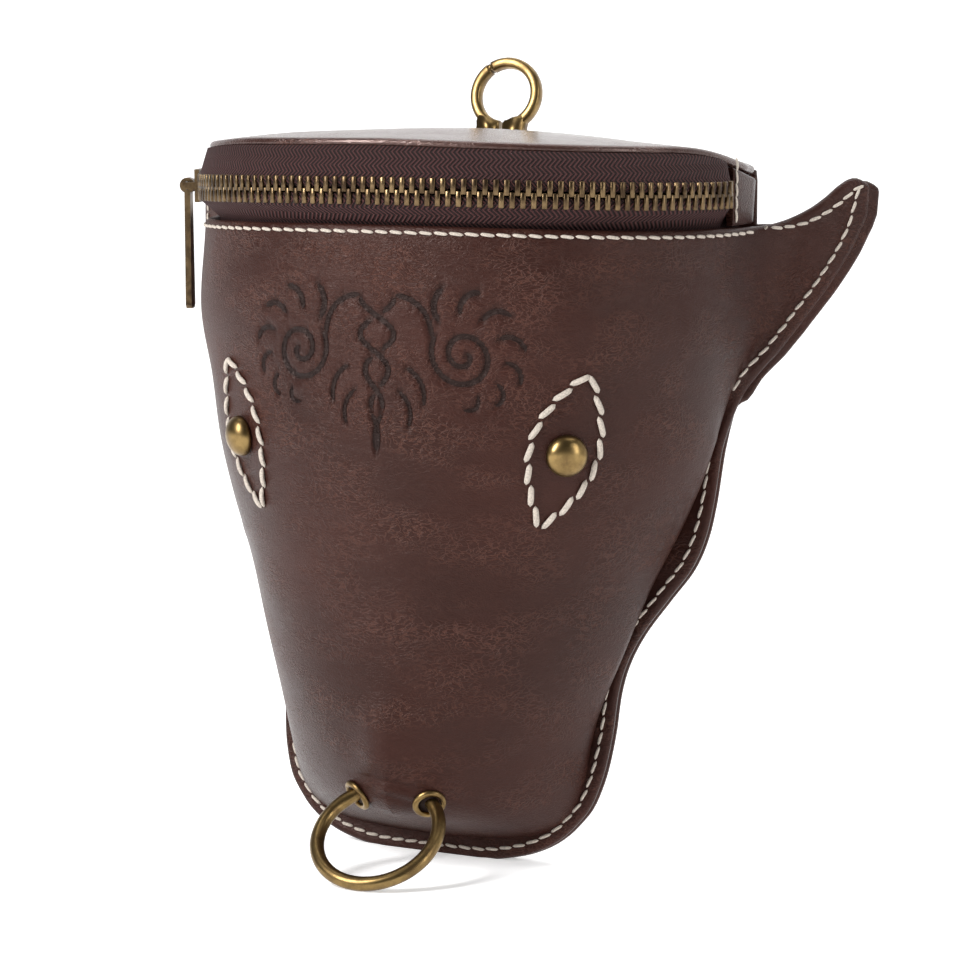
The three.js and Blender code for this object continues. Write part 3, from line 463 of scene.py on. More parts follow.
def frontGrid():
    rows, columns, flange = front["rows"], front["columns"], front["flange"]
    spread = np.linspace(0, 1, columns)
    turns = np.pi * (spread + 0.085 * np.sin(2 * np.pi * spread))  # closer together in the middle
    turns[0], turns[-1] = 0, np.pi
    fine = np.linspace(0, 2.2, 60)
    starts = []
    for turn in turns:
        line = mouthOf(bodyPoint(fine, turn))
        lip = levelAt(sizes["lip"], line[:, 0]) - front["lipRoll"]
        starts.append(np.interp(0, (lip - line[:, 2]), fine))
    starts = np.array(starts)
    share = np.linspace(0, 1, rows)
    share = share + 0.055 * np.sin(2 * np.pi * share)
    share = share * 0.985 + 0.015 * np.linspace(0, 1, rows) ** 0.5
    share[0], share[-1] = 0, 1
    at = starts[None, :] + (lastRow - starts[None, :]) * share[:, None]
    dome = bodyPoint(at, np.broadcast_to(turns, at.shape))
    # flange, from the base of the dome out to its edge
    y = -sizes["gap"] / 2 - sizes["wall"]
    roll = sizes["wall"] / 2
    base = dome[:, -1].copy()
    base[:, 0] *= -1
    edge = insetPath(outlinePath(), roll)
    edge[0, 0] = 0
    corner = edge[-1]
    rootRows = base[:, 2] >= corner[1]
    downRun = runOf(base[~rootRows][:, [0, 2]])
    outer = np.zeros((rows, 2))
    rootX = bodyTable["base"][0] * sizes["mouthHalfWidth"]
    outer[rootRows] = np.stack([np.full(rootRows.sum(), rootX + 0.05), base[rootRows][:, 2]], -1)
    outer[~rootRows] = along(edge[::-1], downRun)
    outer[-1, 0] = 0
    shareOut = np.linspace(0, 1, flange + 1)[1:]
    wings = []
    for side in (1, -1):
        wing = np.zeros((rows, flange, 3))
        wing[..., 0] = side * (base[:, None, 0] + (outer[:, None, 0] - base[:, None, 0]) * shareOut)
        wing[..., 1] = y
        wing[..., 2] = base[:, None, 2] + (outer[:, None, 1] - base[:, None, 2]) * shareOut
        wings.append(wing)
    dome[..., 1] = np.minimum(dome[..., 1], y)
    full = np.concatenate([wings[0][:, ::-1], dome, wings[1]], axis=1)
    return full, rootRows, y, roll


def smoothStep(value):
    share = min(1.0, max(0.0, value))
    return share * share * (3 - 2 * share)


def softenValley(full, flange, passes=5):
    for _ in range(passes):
        for middle in (flange, full.shape[1] - 1 - flange):
            zone = slice(middle - 5, middle + 7)
            before = full[:, middle - 6:middle + 8].copy()
            full[:, zone] = before[:, 1:-1] * 0.4 + (before[:, :-2] + before[:, 2:]) * 0.3
    return full


fillet = {"reach": 15.0, "low": 113.0, "ramp": 20.0, "pull": 0.72}


def filletRow(line, root):
    run = np.concatenate([[0], np.cumsum(np.linalg.norm(np.diff(line, axis=0), axis=1))])
    fade = float(np.clip((line[root, 2] - fillet["low"]) / fillet["ramp"], 0.02, 1))
    reach = fillet["reach"] * fade * fade * (3 - 2 * fade)
    reach = min(reach, run[root] * 0.8)
    ends = [run[root] - reach, run[root] + reach]

    def at(where):
        return np.array([np.interp(where, run, line[:, k]) for k in range(3)])

    start, end = at(ends[0]), at(ends[1])
    leave, arrive = start - at(ends[0] - 0.8), at(ends[1] + 0.8) - end
    leave /= np.linalg.norm(leave)
    arrive /= np.linalg.norm(arrive)
    inside = (run > ends[0]) & (run < ends[1])
    t = ((run[inside] - ends[0]) / (2 * reach))[:, None]
    pull = fillet["pull"] * reach
    line[inside] = ((1 - t) ** 3 * start + 3 * (1 - t) ** 2 * t * (start + leave * pull)
                    + 3 * (1 - t) * t * t * (end - arrive * pull) + t**3 * end)
    return line


def smoothCorner(bm, passes=40):
    rim = [v for v in bm.verts if v.is_boundary and 104 < v.co.z < 126 and abs(v.co.x) > 60]
    near = {v: [e.other_vert(v) for e in v.link_edges if e.is_boundary] for v in rim}
    for _ in range(passes):
        moved = [v.co * 0.4 + (near[v][0].co + near[v][1].co) * 0.3 for v in rim]
        for v, place in zip(rim, moved):
            v.co = place
    inner = [v for v in bm.verts
             if not v.is_boundary and 106 < v.co.z < 124 and abs(v.co.x) > 64 and v.co.y > -12]
    for _ in range(12):
        for v in inner:
            around = sum((e.other_vert(v).co for e in v.link_edges), Vector())
            v.co = v.co * 0.4 + around * (0.6 / len(v.link_edges))


# Strokes pressed into the forehead: a twisted cord between two leafy scrolls
motif = {"centre": (0.0, 114.0), "depth": 0.6, "width": 1.5, "edge": 0.45}


def spiral(cx, cz, start, turns, radius, side):
    share = np.linspace(0, 1, 90)
    angle = start + turns * 2 * np.pi * share
    size = radius * (1 - 0.88 * share)
    return np.stack([side * (cx + size * np.cos(angle)), cz + size * np.sin(angle)], -1)


def bow(x0, z0, x1, z1, sag, side=1):
    share = np.linspace(0, 1, 30)
    dx, dz = x1 - x0, z1 - z0
    lift = 4 * sag * share * (1 - share) / math.hypot(dx, dz)
    return np.stack([side * (x0 + dx * share - dz * lift), z0 + dz * share + dx * lift], -1)


def knotStrokes():
    strokes = []
    for side in (1, -1):
        height = np.linspace(14, -11, 121)
        swing = np.cos((height - 14) * np.pi / 8.4)
        swell = 4.3 * np.clip((height + 19) / 24, 0, 1)
        # one strand passes under the other at each crossing
        shown = (np.abs(swing) > 0.3) | (np.gradient(swing) * side > 0)
        run = []
        for x, z, show in zip(swing * swell * side, height, shown):
            if show:
                run.append((x, z))
            elif len(run) > 1:
                strokes.append((np.array(run), 1.0))
                run = []
        strokes.append((np.array(run), 1.0))
        strokes.append((bow(1.2, -12.4, 0.0, -20.5, -0.9, side), 0.9))
        strokes.append((bow(4.6, 14.6, 13.4, 5.6, 2.6, side), 1.0))
        strokes.append((spiral(20.6, 2.0, 2.6, 1.7, 7.6, side), 1.0))
        for k in range(7):
            angle = math.radians(128 - 33 * k)
            near, far = 9.2, 15.4 - 0.55 * k
            strokes.append((bow(20.6 + near * math.cos(angle), 2.0 + near * math.sin(angle),
                                20.6 + far * math.cos(angle - 0.34), 2.0 + far * math.sin(angle - 0.34),
                                1.5, side), 1.15 - 0.07 * k))
        strokes.append((bow(7.4, -1.5, 11.5, -9.5, 1.6, side), 0.9))
        strokes.append((bow(5.6, -7.0, 8.0, -14.5, 1.4, side), 0.8))
    return strokes


def pressDepth(points):
    cx, cz = motif["centre"]
    flat = np.stack([points[:, 0] - cx, points[:, 2] - cz], -1)
    pressed = np.zeros(len(points))
    near = (np.abs(flat[:, 0]) < 38) & (np.abs(flat[:, 1]) < 26) & (points[:, 1] < -30)
    spot = flat[near]
    best = np.full(len(spot), 99.0)
    for stroke, wide in knotStrokes():
        a, b = stroke[:-1], stroke[1:]
        d = b - a
        length = np.maximum((d**2).sum(1), 1e-9)
        t = np.clip(((spot[:, None] - a[None]) * d[None]).sum(-1) / length, 0, 1)
        gap = np.linalg.norm(spot[:, None] - (a[None] + t[..., None] * d[None]), axis=-1).min(1)
        best = np.minimum(best, gap - motif["width"] / 2 * wide)
    level = np.clip(0.5 - best / motif["edge"], 0, 1)
    pressed[near] = level * level * (3 - 2 * level)
    return pressed


noseFold = {"height": 1.9, "width": 6.0, "low": 17.5, "high": 23.5, "fade": 46.0, "crease": 0.7}


def foldNose(spot):
    x, z = spot.x, spot.z
    low, high, fade = noseFold["low"], noseFold["high"], noseFold["fade"]
    if abs(x) > 24 or z > fade or spot.y > -8:
        return 0.0
    rise = smoothStep((z - low - 0.1 * x) / (high - low)) * (1 - smoothStep((z - high) / (fade - high)))
    push = noseFold["height"] * rise * math.exp(-(x / noseFold["width"]) ** 2)
    for start, drop, deep in ((16.8, -0.12, 1.0), (13.6, -0.2, 0.7)):
        away = z - (start + drop * x)
        push -= noseFold["crease"] * deep * math.exp(-(away / 1.1) ** 2) * math.exp(-((x - 1.5) / 8.5) ** 2)
    return push


def makeFront():
    full, rootRows, y, roll = frontGrid()
    full = softenValley(full, front["flange"])
    rows, width = full.shape[:2]
    faces = gridFaces(rows, width)
    horns = []
    top = np.where(rootRows)[0]
    for side, column in ((1, 0), (-1, width - 1)):
        root = full[top, column]
        grid = hornGrid(root[::-1, 2], y, roll, side, front["hornColumns"])[::-1]
        grid = np.concatenate([root[:, None], grid], axis=1)
        half = width // 3
        for k, row in enumerate(top):
            dome = full[row, :half] if side > 0 else full[row, ::-1][:half]
            line = filletRow(np.concatenate([grid[k, :0:-1], dome]), front["hornColumns"])
            grid[k] = line[:front["hornColumns"] + 1][::-1]
            if side > 0:
                full[row, :half] = line[front["hornColumns"]:]
            else:
                full[row, ::-1][:half] = line[front["hornColumns"]:]
        horns.append((grid, side))
    points = full.reshape(-1, 3)
    for grid, side in horns:
        start = len(points)
        points = np.concatenate([points, grid.reshape(-1, 3)])
        faces += gridFaces(grid.shape[0], grid.shape[1], start, flip=side > 0)
    bm = mergeGrid(points, faces)
    smoothCorner(bm)
    bm.normal_update()
    flat = np.array([v.co[:] for v in bm.verts])
    pressed = pressDepth(flat)
    # the press level is kept as the mask for the painted groove shade
    layer = bm.verts.layers.float.new("grooveShadeMask")
    for v, level in zip(bm.verts, pressed):
        v[layer] = level
        v.co += v.normal * foldNose(v.co)
        if level > 0:
            v.co -= v.normal * level * motif["depth"]
    rollEdge(bm, sizes["wall"])
    for v in bm.verts:
        floor = v.co.y * math.tan(lean)
        v.co.z = max(v.co.z, floor + 0.02)
    tree = BVHTree.FromBMesh(bm)
    piece = pieceFrom("leather_front", bm, fromBack)
    return piece, tree, y


frontPiece, frontTree, flangeY = makeFront()
finishPiece(frontPiece, leatherFront, replaces=("front_panel",), edge=edgePaint)
print("front leather:", len(frontPiece.data.polygons), "faces")


def onFront(x, z):
    hit, normal, _, _ = frontTree.ray_cast(Vector((x, -200, z)), Vector((0, 1, 0)))
    if normal.y > 0:
        normal = -normal
    return np.array(hit), np.array(normal)


# Dark ribbons laid just above the pressed strokes: painted shade in the grooves.
def strokeShadeRibbons():
    points, faces = [], []
    cx, cz = motif["centre"]
    for stroke, wide in knotStrokes():
        steps = np.linalg.norm(np.diff(stroke, axis=0), axis=1)
        run = np.concatenate([[0], np.cumsum(steps)])
        count = max(6, int(run[-1] / 0.35))
        share = np.linspace(0, 1, count)
        line = np.stack([np.interp(share * run[-1], run, stroke[:, k]) for k in range(2)], -1)
        heading = np.gradient(line, axis=0)
        heading /= np.linalg.norm(heading, axis=1)[:, None]
        across = np.stack([-heading[:, 1], heading[:, 0]], -1)
        taper = np.minimum(1, np.minimum(share, 1 - share) * run[-1] / 1.2 + 0.15) ** 0.6
        start = len(points)
        for spot, aside, part in zip(line, across, taper):
            for reach in np.linspace(-1, 1, 5):
                flat = spot + aside * reach * part * wide * motif["width"] * 0.42
                hit, normal = onFront(flat[0] + cx, flat[1] + cz)
                points.append(hit + normal * 0.07)
        faces += gridFaces(count, 5, start)
    piece = meshFrom("pressed_strokes", points, faces, fromBack)
    return finishPiece(piece, paintedShadeLeather)


strokeShadeRibbons()

# Back leather
back = {"columns": 60, "levels": 90}


def makeBack():
    roll = sizes["backWall"] / 2
    y = sizes["gap"] / 2 + sizes["backWall"]
    edge = insetPath(outlinePath(), roll)
    edge[0, 0] = 0
    lower = along(edge, np.linspace(0, 1, back["levels"]))
    rootX = bodyTable["base"][0] * sizes["mouthHalfWidth"]
    rim = levelAt(sizes["lip"], rootX) / math.cos(tilt) - roll
    rootLine = np.stack([np.full(30, rootX + 0.05), np.linspace(lower[-1, 1], rim, 31)[1:]], -1)
    upper = np.stack([np.linspace(rootX - 0.6, rootX - 1.6, 8), np.linspace(rim + 0.8, 171.5, 8)], -1)
    side = np.concatenate([lower, rootLine, upper])
    share = np.linspace(-1, 1, back["columns"])
    grid = np.zeros((len(side), len(share), 3))
    grid[..., 0] = side[:, :1] * share
    grid[..., 1] = y
    crown = 1 - share**2
    grid[..., 2] = side[:, 1:2]
    grid[-8:, :, 2] += (np.linspace(0, 1, 8)[:, None] ** 1.5) * crown[None] * 7.2
    points = grid.reshape(-1, 3)
    faces = gridFaces(len(side), len(share))
    rootSide = side[len(lower) - 1:len(lower) + 30]
    for direction in (1, -1):
        root = np.stack([rootSide[:, 0] * direction, np.full(len(rootSide), y), rootSide[:, 1]], -1)
        horn = hornGrid(root[:, 2], y, roll, direction, 34)
        horn = np.concatenate([root[:, None], horn], axis=1)
        start = len(points)
        points = np.concatenate([points, horn.reshape(-1, 3)])
        faces += gridFaces(horn.shape[0], horn.shape[1], start, flip=direction < 0)
    bm = mergeGrid(points, faces)
    bm.normal_update()
    if sum(f.normal.y for f in bm.faces) < 0:
        bmesh.ops.reverse_faces(bm, faces=bm.faces)
    rollEdge(bm, sizes["backWall"], skirt=5.0)
    for v in bm.verts:
        v.co.z = max(v.co.z, v.co.y * math.tan(lean) + 0.02)
    return pieceFrom("leather_back", bm, fromBack)


finishPiece(makeBack(), leatherPlain, replaces=("back_panel",), edge=edgePaint)
print("back leather ready")

# The mouth, in the mouth frame
zipShape = {"lid": 175.8, "lidThickness": 2.2, "drop": 1.9, "skew": 0.6, "cornerDrop": 6.0, "dome": 0.9,
            "leftDrop": 1.6,
            "lidInset": 1.0, "bulge": 0.8, "bulgeRun": 8.5, "tabReach": 15.0, "tape": 0.8,
            "toothHeight": 3.5, "toothLap": 0.7, "pitch": 2.4, "slider": 27.0}


def backAt(height):
    return height * math.tan(tilt)


def smooth(value, low, high):
    share = np.clip((value - low) / (high - low), 0, 1)
    return share * share * (3 - 2 * share)


def mouthPoint(inset, turn, height):
    depth = bodyTable["depth"][0] * sizes["mouthDepth"] / math.cos(tilt) - inset
    base = bodyTable["base"][0] * sizes["mouthHalfWidth"] - inset
    girth = bodyTable["girth"][0] * sizes["mouthHalfWidth"] - inset
    square = bodyTable["square"][0]
    side = abs(math.cos(turn)) ** (2 / square)
    out = abs(math.sin(turn)) ** (2 / square)
    quick = min(1, out * depth / tuckReach)
    slant = (backAt(height) - backAt(sizes["lip"])) * (1 - min(1, out * depth / zipShape["tabReach"]))
    ahead = (sizes["wall"] + 3 * sizes["gap"]) * (1 - quick)
    x = (girth * side - (girth - base) * (1 - quick) ** 2) * math.copysign(1, math.cos(turn))
    return np.array([x, backAt(sizes["lip"]) + slant - ahead - depth * out, height])


tucked = sizes["wall"] + 3 * sizes["gap"] + zipShape["tape"] / 2


def chainInset(turn):
    forward = backAt(sizes["lip"]) - mouthPoint(tucked, turn, sizes["lip"])[1]
    start = zipShape["tabReach"] - 1
    return tucked - (tucked + zipShape["bulge"]) * float(smooth(forward, start, start + zipShape["bulgeRun"]))


def lidUnder(x, y):
    share = x / sizes["mouthHalfWidth"]
    toBack = float(smooth(y, 0, backAt(zipShape["lid"])))
    left = zipShape["leftDrop"] * float(smooth(-share, 0.5, 1.0))
    return (zipShape["lid"] - zipShape["lidThickness"] - left - zipShape["drop"] * abs(share) ** 1.3
            - zipShape["skew"] * share - zipShape["cornerDrop"] * share * share * toBack)


def turnAt(forward, side):
    low, high = 0.0, math.pi / 2
    for _ in range(40):
        middle = (low + high) / 2
        if backAt(sizes["lip"]) - mouthPoint(0, middle, sizes["lip"])[1] < forward:
            low = middle
        else:
            high = middle
    return low if side > 0 else math.pi - low


def makeLid():
    roll = zipShape["lidThickness"] / 2
    rim = [mouthPoint(zipShape["lidInset"] + roll, t, sizes["lip"])
           for t in np.linspace(0.02, math.pi - 0.02, 150)]
    backY = backAt(zipShape["lid"]) + sizes["backWall"] / math.cos(tilt) + sizes["gap"] - roll
    rim = np.array(rim)[:, :2]
    corner = 7.0
    bends = [(corner * (1 - math.cos(a)), corner * (1 - math.sin(a))) for a in np.linspace(0, np.pi / 2, 9)]
    tail = [[rim[-1, 0] + dx, backY - dy] for dx, dy in bends]
    tail += [[x, backY] for x in np.linspace(rim[-1, 0] + corner, rim[0, 0] - corner, 50)[1:-1]]
    tail += [[rim[0, 0] - dx, backY - dy] for dx, dy in bends[::-1]]
    loop = np.concatenate([rim, np.array(tail)])
    centre = np.array([0, backY - 36])
    points, rings = [], 26
    for share in np.linspace(1, 0, rings) ** 0.8:
        for p in loop:
            q = centre + (p - centre) * share
            dome = zipShape["dome"] * (1 - share**2) * 1.4
            points.append([q[0], q[1], lidUnder(q[0], q[1]) + zipShape["lidThickness"] + dome])
    count = len(loop)
    faces = []
    for i in range(rings - 1):
        for j in range(count):
            k = (j + 1) % count
            faces.append((i * count + j, i * count + k, (i + 1) * count + k, (i + 1) * count + j))
    bm = mergeGrid(points, faces)
    bm.normal_update()
    if sum(f.normal.z for f in bm.faces) < 0:
        bmesh.ops.reverse_faces(bm, faces=bm.faces)
    rollEdge(bm, zipShape["lidThickness"], skirt=4.0)
    under = [bm.verts.new((p[0] * 0.97, centre[1] + (p[1] - centre[1]) * 0.97, lidUnder(p[0], p[1]) + 0.25))
             for p in loop]
    middle = bm.verts.new((centre[0], centre[1], lidUnder(centre[0], centre[1]) + 0.25))
    for a, b in zip(under, under[1:] + under[:1]):
        bm.faces.new((b, a, middle))
    return pieceFrom("leather_lid", bm, fromMouth)


finishPiece(makeLid(), leatherLidSheen, replaces=("lid",), edge=edgePaint)


def stripLoft(name, turns, profile, material, node, uv=False):
    rings = [[mouthPoint(inset, t, height) for inset, height in profile(t)] for t in turns]
    count = len(rings[0])
    points = np.array(rings).reshape(-1, 3)
    piece = meshFrom(name, points, loftFaces(len(rings), count), fromMouth, smooth=False)
    faceOut(piece)
    if uv:
        layer = piece.data.uv_layers.new(name="UVMap")
        middle = np.array([[r[0][0], r[0][1]] for r in rings])
        run = np.concatenate([[0], np.cumsum(np.linalg.norm(np.diff(middle, axis=0), axis=1))])
        tall = np.array([[p[2] for p in r] for r in rings])
        for loop in piece.data.loops:
            i, j = divmod(loop.vertex_index, count)
            layer.data[loop.index].uv = (run[i], tall[i, j])
    for polygon in piece.data.polygons:
        polygon.use_smooth = len(polygon.vertices) == 4
    return finishPiece(piece, material, replaces=(node,))


mouthTurns = np.linspace(0, math.pi, 260)
tapeReach = 0.7


def lowerProfile(turn):
    half = zipShape["tape"] / 2
    edge = chainInset(turn)
    x = mouthPoint(edge, turn, sizes["lip"])[0]
    lip = levelAt(sizes["lip"], x)
    top = levelAt(sizes["chain"], x) - tapeReach
    return [(tucked - half, lip - 2), (tucked + half, lip - 2), (tucked + half, lip + .3),
            (edge + half, top - 2.6), (edge + half, top), (edge - half, top),
            (edge - half - 0.25, top - 1.6), (edge - half, top - 2.6),
            (tucked - half, lip + .3)]


def upperProfile(turn):
    half = zipShape["tape"] / 2
    edge = chainInset(turn)
    place = mouthPoint(tucked, turn, zipShape["lid"])
    low = levelAt(sizes["chain"], place[0]) + tapeReach
    brow = 1.0 + 0.5 * (edge + 0.8)
    high = lidUnder(place[0], place[1]) + 0.5
    return [(edge - half, low), (edge + half, low), (edge + half, low + 2.6), (brow + half, high),
            (brow - half, high), (edge - half, low + 2.6), (edge - half - 0.25, low + 1.6)]


stripLoft("tape_lower", mouthTurns, lowerProfile, tapeCloth, "zip_tape_lower", uv=True)
stripLoft("tape_upper", mouthTurns, upperProfile, tapeCloth, "zip_tape_upper", uv=True)


def tabProfile(turn):
    place = mouthPoint(0, turn, zipShape["lid"])
    high = lidUnder(place[0], place[1]) - 0.45
    low = levelAt(sizes["lip"], place[0]) + 0.3
    return [(0.35, low), (1.8, low), (1.8, high), (0.35, high), (0, high - 0.4), (0, low + 0.4)]


for side, word in ((1, "right"), (-1, "left")):
    reach = turnAt(zipShape["tabReach"] + (4.2 if side > 0 else 0), side)
    turns = np.linspace(0, reach, 24) if side > 0 else np.linspace(reach, math.pi, 24)
    stripLoft(f"end_tab_{word}", turns, tabProfile, leatherPlain, f"zip_end_{word}")
print("lid, tapes and tabs ready")

# Repeats: stitches and teeth


def repeatTree(name):
    tree = bpy.data.node_groups.new(name, "GeometryNodeTree")
    face = tree.interface
    face.new_socket("Geometry", in_out="INPUT", socket_type="NodeSocketGeometry")
    face.new_socket("Unit", in_out="INPUT", socket_type="NodeSocketObject")
    face.new_socket("Length", in_out="INPUT", socket_type="NodeSocketFloat")
    face.new_socket("Wobble", in_out="INPUT", socket_type="NodeSocketFloat")
    face.new_socket("Seed", in_out="INPUT", socket_type="NodeSocketInt")
    face.new_socket("Finish", in_out="INPUT", socket_type="NodeSocketMaterial")
    face.new_socket("Geometry", in_out="OUTPUT", socket_type="NodeSocketGeometry")
    n, link = tree.nodes, tree.links
    given = n.new("NodeGroupInput")
    result = n.new("NodeGroupOutput")
    unit = n.new("GeometryNodeObjectInfo")
    link.new(given.outputs["Unit"], unit.inputs["Object"])
    dots = n.new("GeometryNodeMeshToPoints")
    link.new(given.outputs["Geometry"], dots.inputs["Mesh"])
    alongField = n.new("GeometryNodeInputNamedAttribute")
    alongField.data_type = "FLOAT_VECTOR"
    alongField.inputs["Name"].default_value = "along"
    outField = n.new("GeometryNodeInputNamedAttribute")
    outField.data_type = "FLOAT_VECTOR"
    outField.inputs["Name"].default_value = "out"
    first = n.new("FunctionNodeAlignRotationToVector")
    first.axis = "X"
    link.new(alongField.outputs[0], first.inputs["Vector"])
    second = n.new("FunctionNodeAlignRotationToVector")
    second.axis = "Z"
    second.pivot_axis = "X"
    link.new(first.outputs[0], second.inputs["Rotation"])
    link.new(outField.outputs[0], second.inputs["Vector"])
    jitter = n.new("FunctionNodeRandomValue")
    jitter.data_type = "FLOAT"
    link.new(given.outputs["Seed"], jitter.inputs["Seed"])
    scale = n.new("ShaderNodeMath")
    scale.operation = "MULTIPLY_ADD"
    link.new(jitter.outputs[1], scale.inputs[0])
    link.new(given.outputs["Wobble"], scale.inputs[1])
    link.new(given.outputs["Length"], scale.inputs[2])
    size = n.new("ShaderNodeCombineXYZ")
    link.new(scale.outputs[0], size.inputs[0])
    size.inputs[1].default_value = 1.0
    size.inputs[2].default_value = 1.0
    place = n.new("GeometryNodeInstanceOnPoints")
    link.new(dots.outputs[0], place.inputs["Points"])
    link.new(unit.outputs["Geometry"], place.inputs["Instance"])
    link.new(second.outputs[0], place.inputs["Rotation"])
    link.new(size.outputs[0], place.inputs["Scale"])
    real = n.new("GeometryNodeRealizeInstances")
    link.new(place.outputs[0], real.inputs[0])
    paint = n.new("GeometryNodeSetMaterial")
    link.new(real.outputs[0], paint.inputs["Geometry"])
    link.new(given.outputs["Finish"], paint.inputs["Material"])
    link.new(paint.outputs[0], result.inputs[0])
    return tree


repeat = repeatTree("repeatAlongPath")


def repeatAlong(name, points, alongs, outs, unit, material, wobble=0.0, seed=3, body="root",
                replaces=()):
    data = bpy.data.meshes.new(name + "_path")
    data.from_pydata([tuple(p) for p in points], [], [])
    for label, values in (("along", alongs), ("out", outs)):
        layer = data.attributes.new(label, "FLOAT_VECTOR", "POINT")
        layer.data.foreach_set("vector", np.asarray(values, float).ravel())
    path = bpy.data.objects.new(name + "_path", data)
    bpy.context.scene.collection.objects.link(path)
    change = path.modifiers.new("repeat", "NODES")
    change.node_group = repeat
    names = {item.name: item.identifier for item in repeat.interface.items_tree if item.in_out == "INPUT"}
    change[names["Unit"]] = unit
    change[names["Length"]] = 1.0
    change[names["Wobble"]] = wobble
    change[names["Seed"]] = seed
    change[names["Finish"]] = material
    bpy.context.view_layer.update()
    graph = bpy.context.evaluated_depsgraph_get()
    made = bpy.data.meshes.new_from_object(path.evaluated_get(graph))
    piece = bpy.data.objects.new(name, made)
    bpy.context.scene.collection.objects.link(piece)
    path.modifiers.clear()
    bpy.data.objects.remove(path)
    for polygon in made.polygons:
        polygon.use_smooth = True
    return finishPiece(piece, material, body=body, replaces=replaces)


def unitFrom(name, bm):
    for face in bm.faces:
        face.smooth = True
    data = bpy.data.meshes.new(name)
    bm.to_mesh(data)
    bm.free()
    unit = bpy.data.objects.new(name, data)
    bpy.context.scene.collection.objects.link(unit)
    return unit


def stitchUnit(name, length, width, height):
    bm = bmesh.new()
    rings, around = 9, 8
    made = []
    for i in range(rings):
        share = i / (rings - 1)
        x = (share - 0.5) * length
        swell = math.sqrt(max(0.0, 1 - (2 * share - 1) ** 4)) * 0.92 + 0.08
        lift = (1 - (2 * share - 1) ** 2) * height * 0.45
        made.append([bm.verts.new((x * 0.001, width / 2 * swell * math.cos(a) * 0.001,
                                   (height / 2 * swell * math.sin(a) + lift) * 0.001))
                     for a in np.linspace(0, 2 * np.pi, around, endpoint=False)])
    for i in range(rings - 1):
        for j in range(around):
            k = (j + 1) % around
            bm.faces.new((made[i][j], made[i][k], made[i + 1][k], made[i + 1][j]))
    bm.faces.new(made[0])
    bm.faces.new(made[-1][::-1])
    bmesh.ops.recalc_face_normals(bm, faces=bm.faces)
    return unitFrom(name, bm)


def evenly(path, pitch, start=0.5):
    path = np.asarray(path, float)
    steps = np.linalg.norm(np.diff(path, axis=0), axis=1)
    run = np.concatenate([[0], np.cumsum(steps)])
    count = int(run[-1] / pitch)
    at = (np.arange(count) + start) * pitch
    at = at[at < run[-1]]
    place = np.stack([np.interp(at, run, path[:, k]) for k in range(3)], -1)
    ahead = np.stack([np.interp(np.minimum(at + 0.4, run[-1]), run, path[:, k]) for k in range(3)], -1)
    behind = np.stack([np.interp(np.maximum(at - 0.4, 0), run, path[:, k]) for k in range(3)], -1)
    direction = ahead - behind
    direction /= np.linalg.norm(direction, axis=1)[:, None]
    return place, direction, at / run[-1]


def turned(direction, normal, degrees):
    direction, normal = np.asarray(direction), np.asarray(normal)
    side = np.cross(normal, direction)
    a = math.radians(degrees)
    return direction * math.cos(a) + side * math.sin(a)


seamStitch = {"pitch": 3.6, "length": 3.2, "width": 0.8, "height": 0.55, "slant": 7.0, "inset": 2.6}
smallUnit = stitchUnit("stitchUnit", seamStitch["length"], seamStitch["width"], seamStitch["height"])


def sewBack(name, path, normals, frameOf, lift=0.05, body="root", unit=None, pitch=None, slant=None, seed=3):
    place, direction, share = evenly(path, pitch or seamStitch["pitch"])
    run = runOf(np.asarray(path))
    out = np.stack([np.interp(share, run, np.asarray(normals)[:, k]) for k in range(3)], -1)
    out /= np.linalg.norm(out, axis=1)[:, None]
    direction = turned(direction, out, seamStitch["slant"] if slant is None else slant)
    zero = frameOf(np.zeros(3))
    return repeatAlong(name, frameOf(place + out * lift), (frameOf(direction) - zero) * 1000,
                       (frameOf(out) - zero) * 1000, unit or smallUnit, thread, wobble=0.08, seed=seed,
                       body=body)


# flange and horns, front and back
flangePath = insetPath(outlinePath(), seamStitch["inset"])
flangePath[0, 0] = 0


def hornLine(inset, side, y, upper):
    reach = np.linspace(0.0, 0.93, 60)
    at = np.interp(reach, hornTable["reach"], np.arange(len(hornTable["reach"])))
    low = readTable(hornTable, "low", at) * sizes["seamHeight"]
    high = readTable(hornTable, "high", at) * sizes["seamHeight"]
    x = bodyTable["base"][0] * sizes["mouthHalfWidth"] + reach * hornShape["reach"]
    edge = np.stack([x, high if upper else low], -1)
    line = insetPath(edge, -inset if upper else inset)
    middle = (low + high) / 2
    line[:, 1] = np.maximum(line[:, 1], middle + 0.6) if upper else np.minimum(line[:, 1], middle - 0.6)
    depth = y + hornBack((line[:, 0] - x[0]) / hornShape["reach"])
    return np.stack([line[:, 0] * side, depth, line[:, 1]], -1)


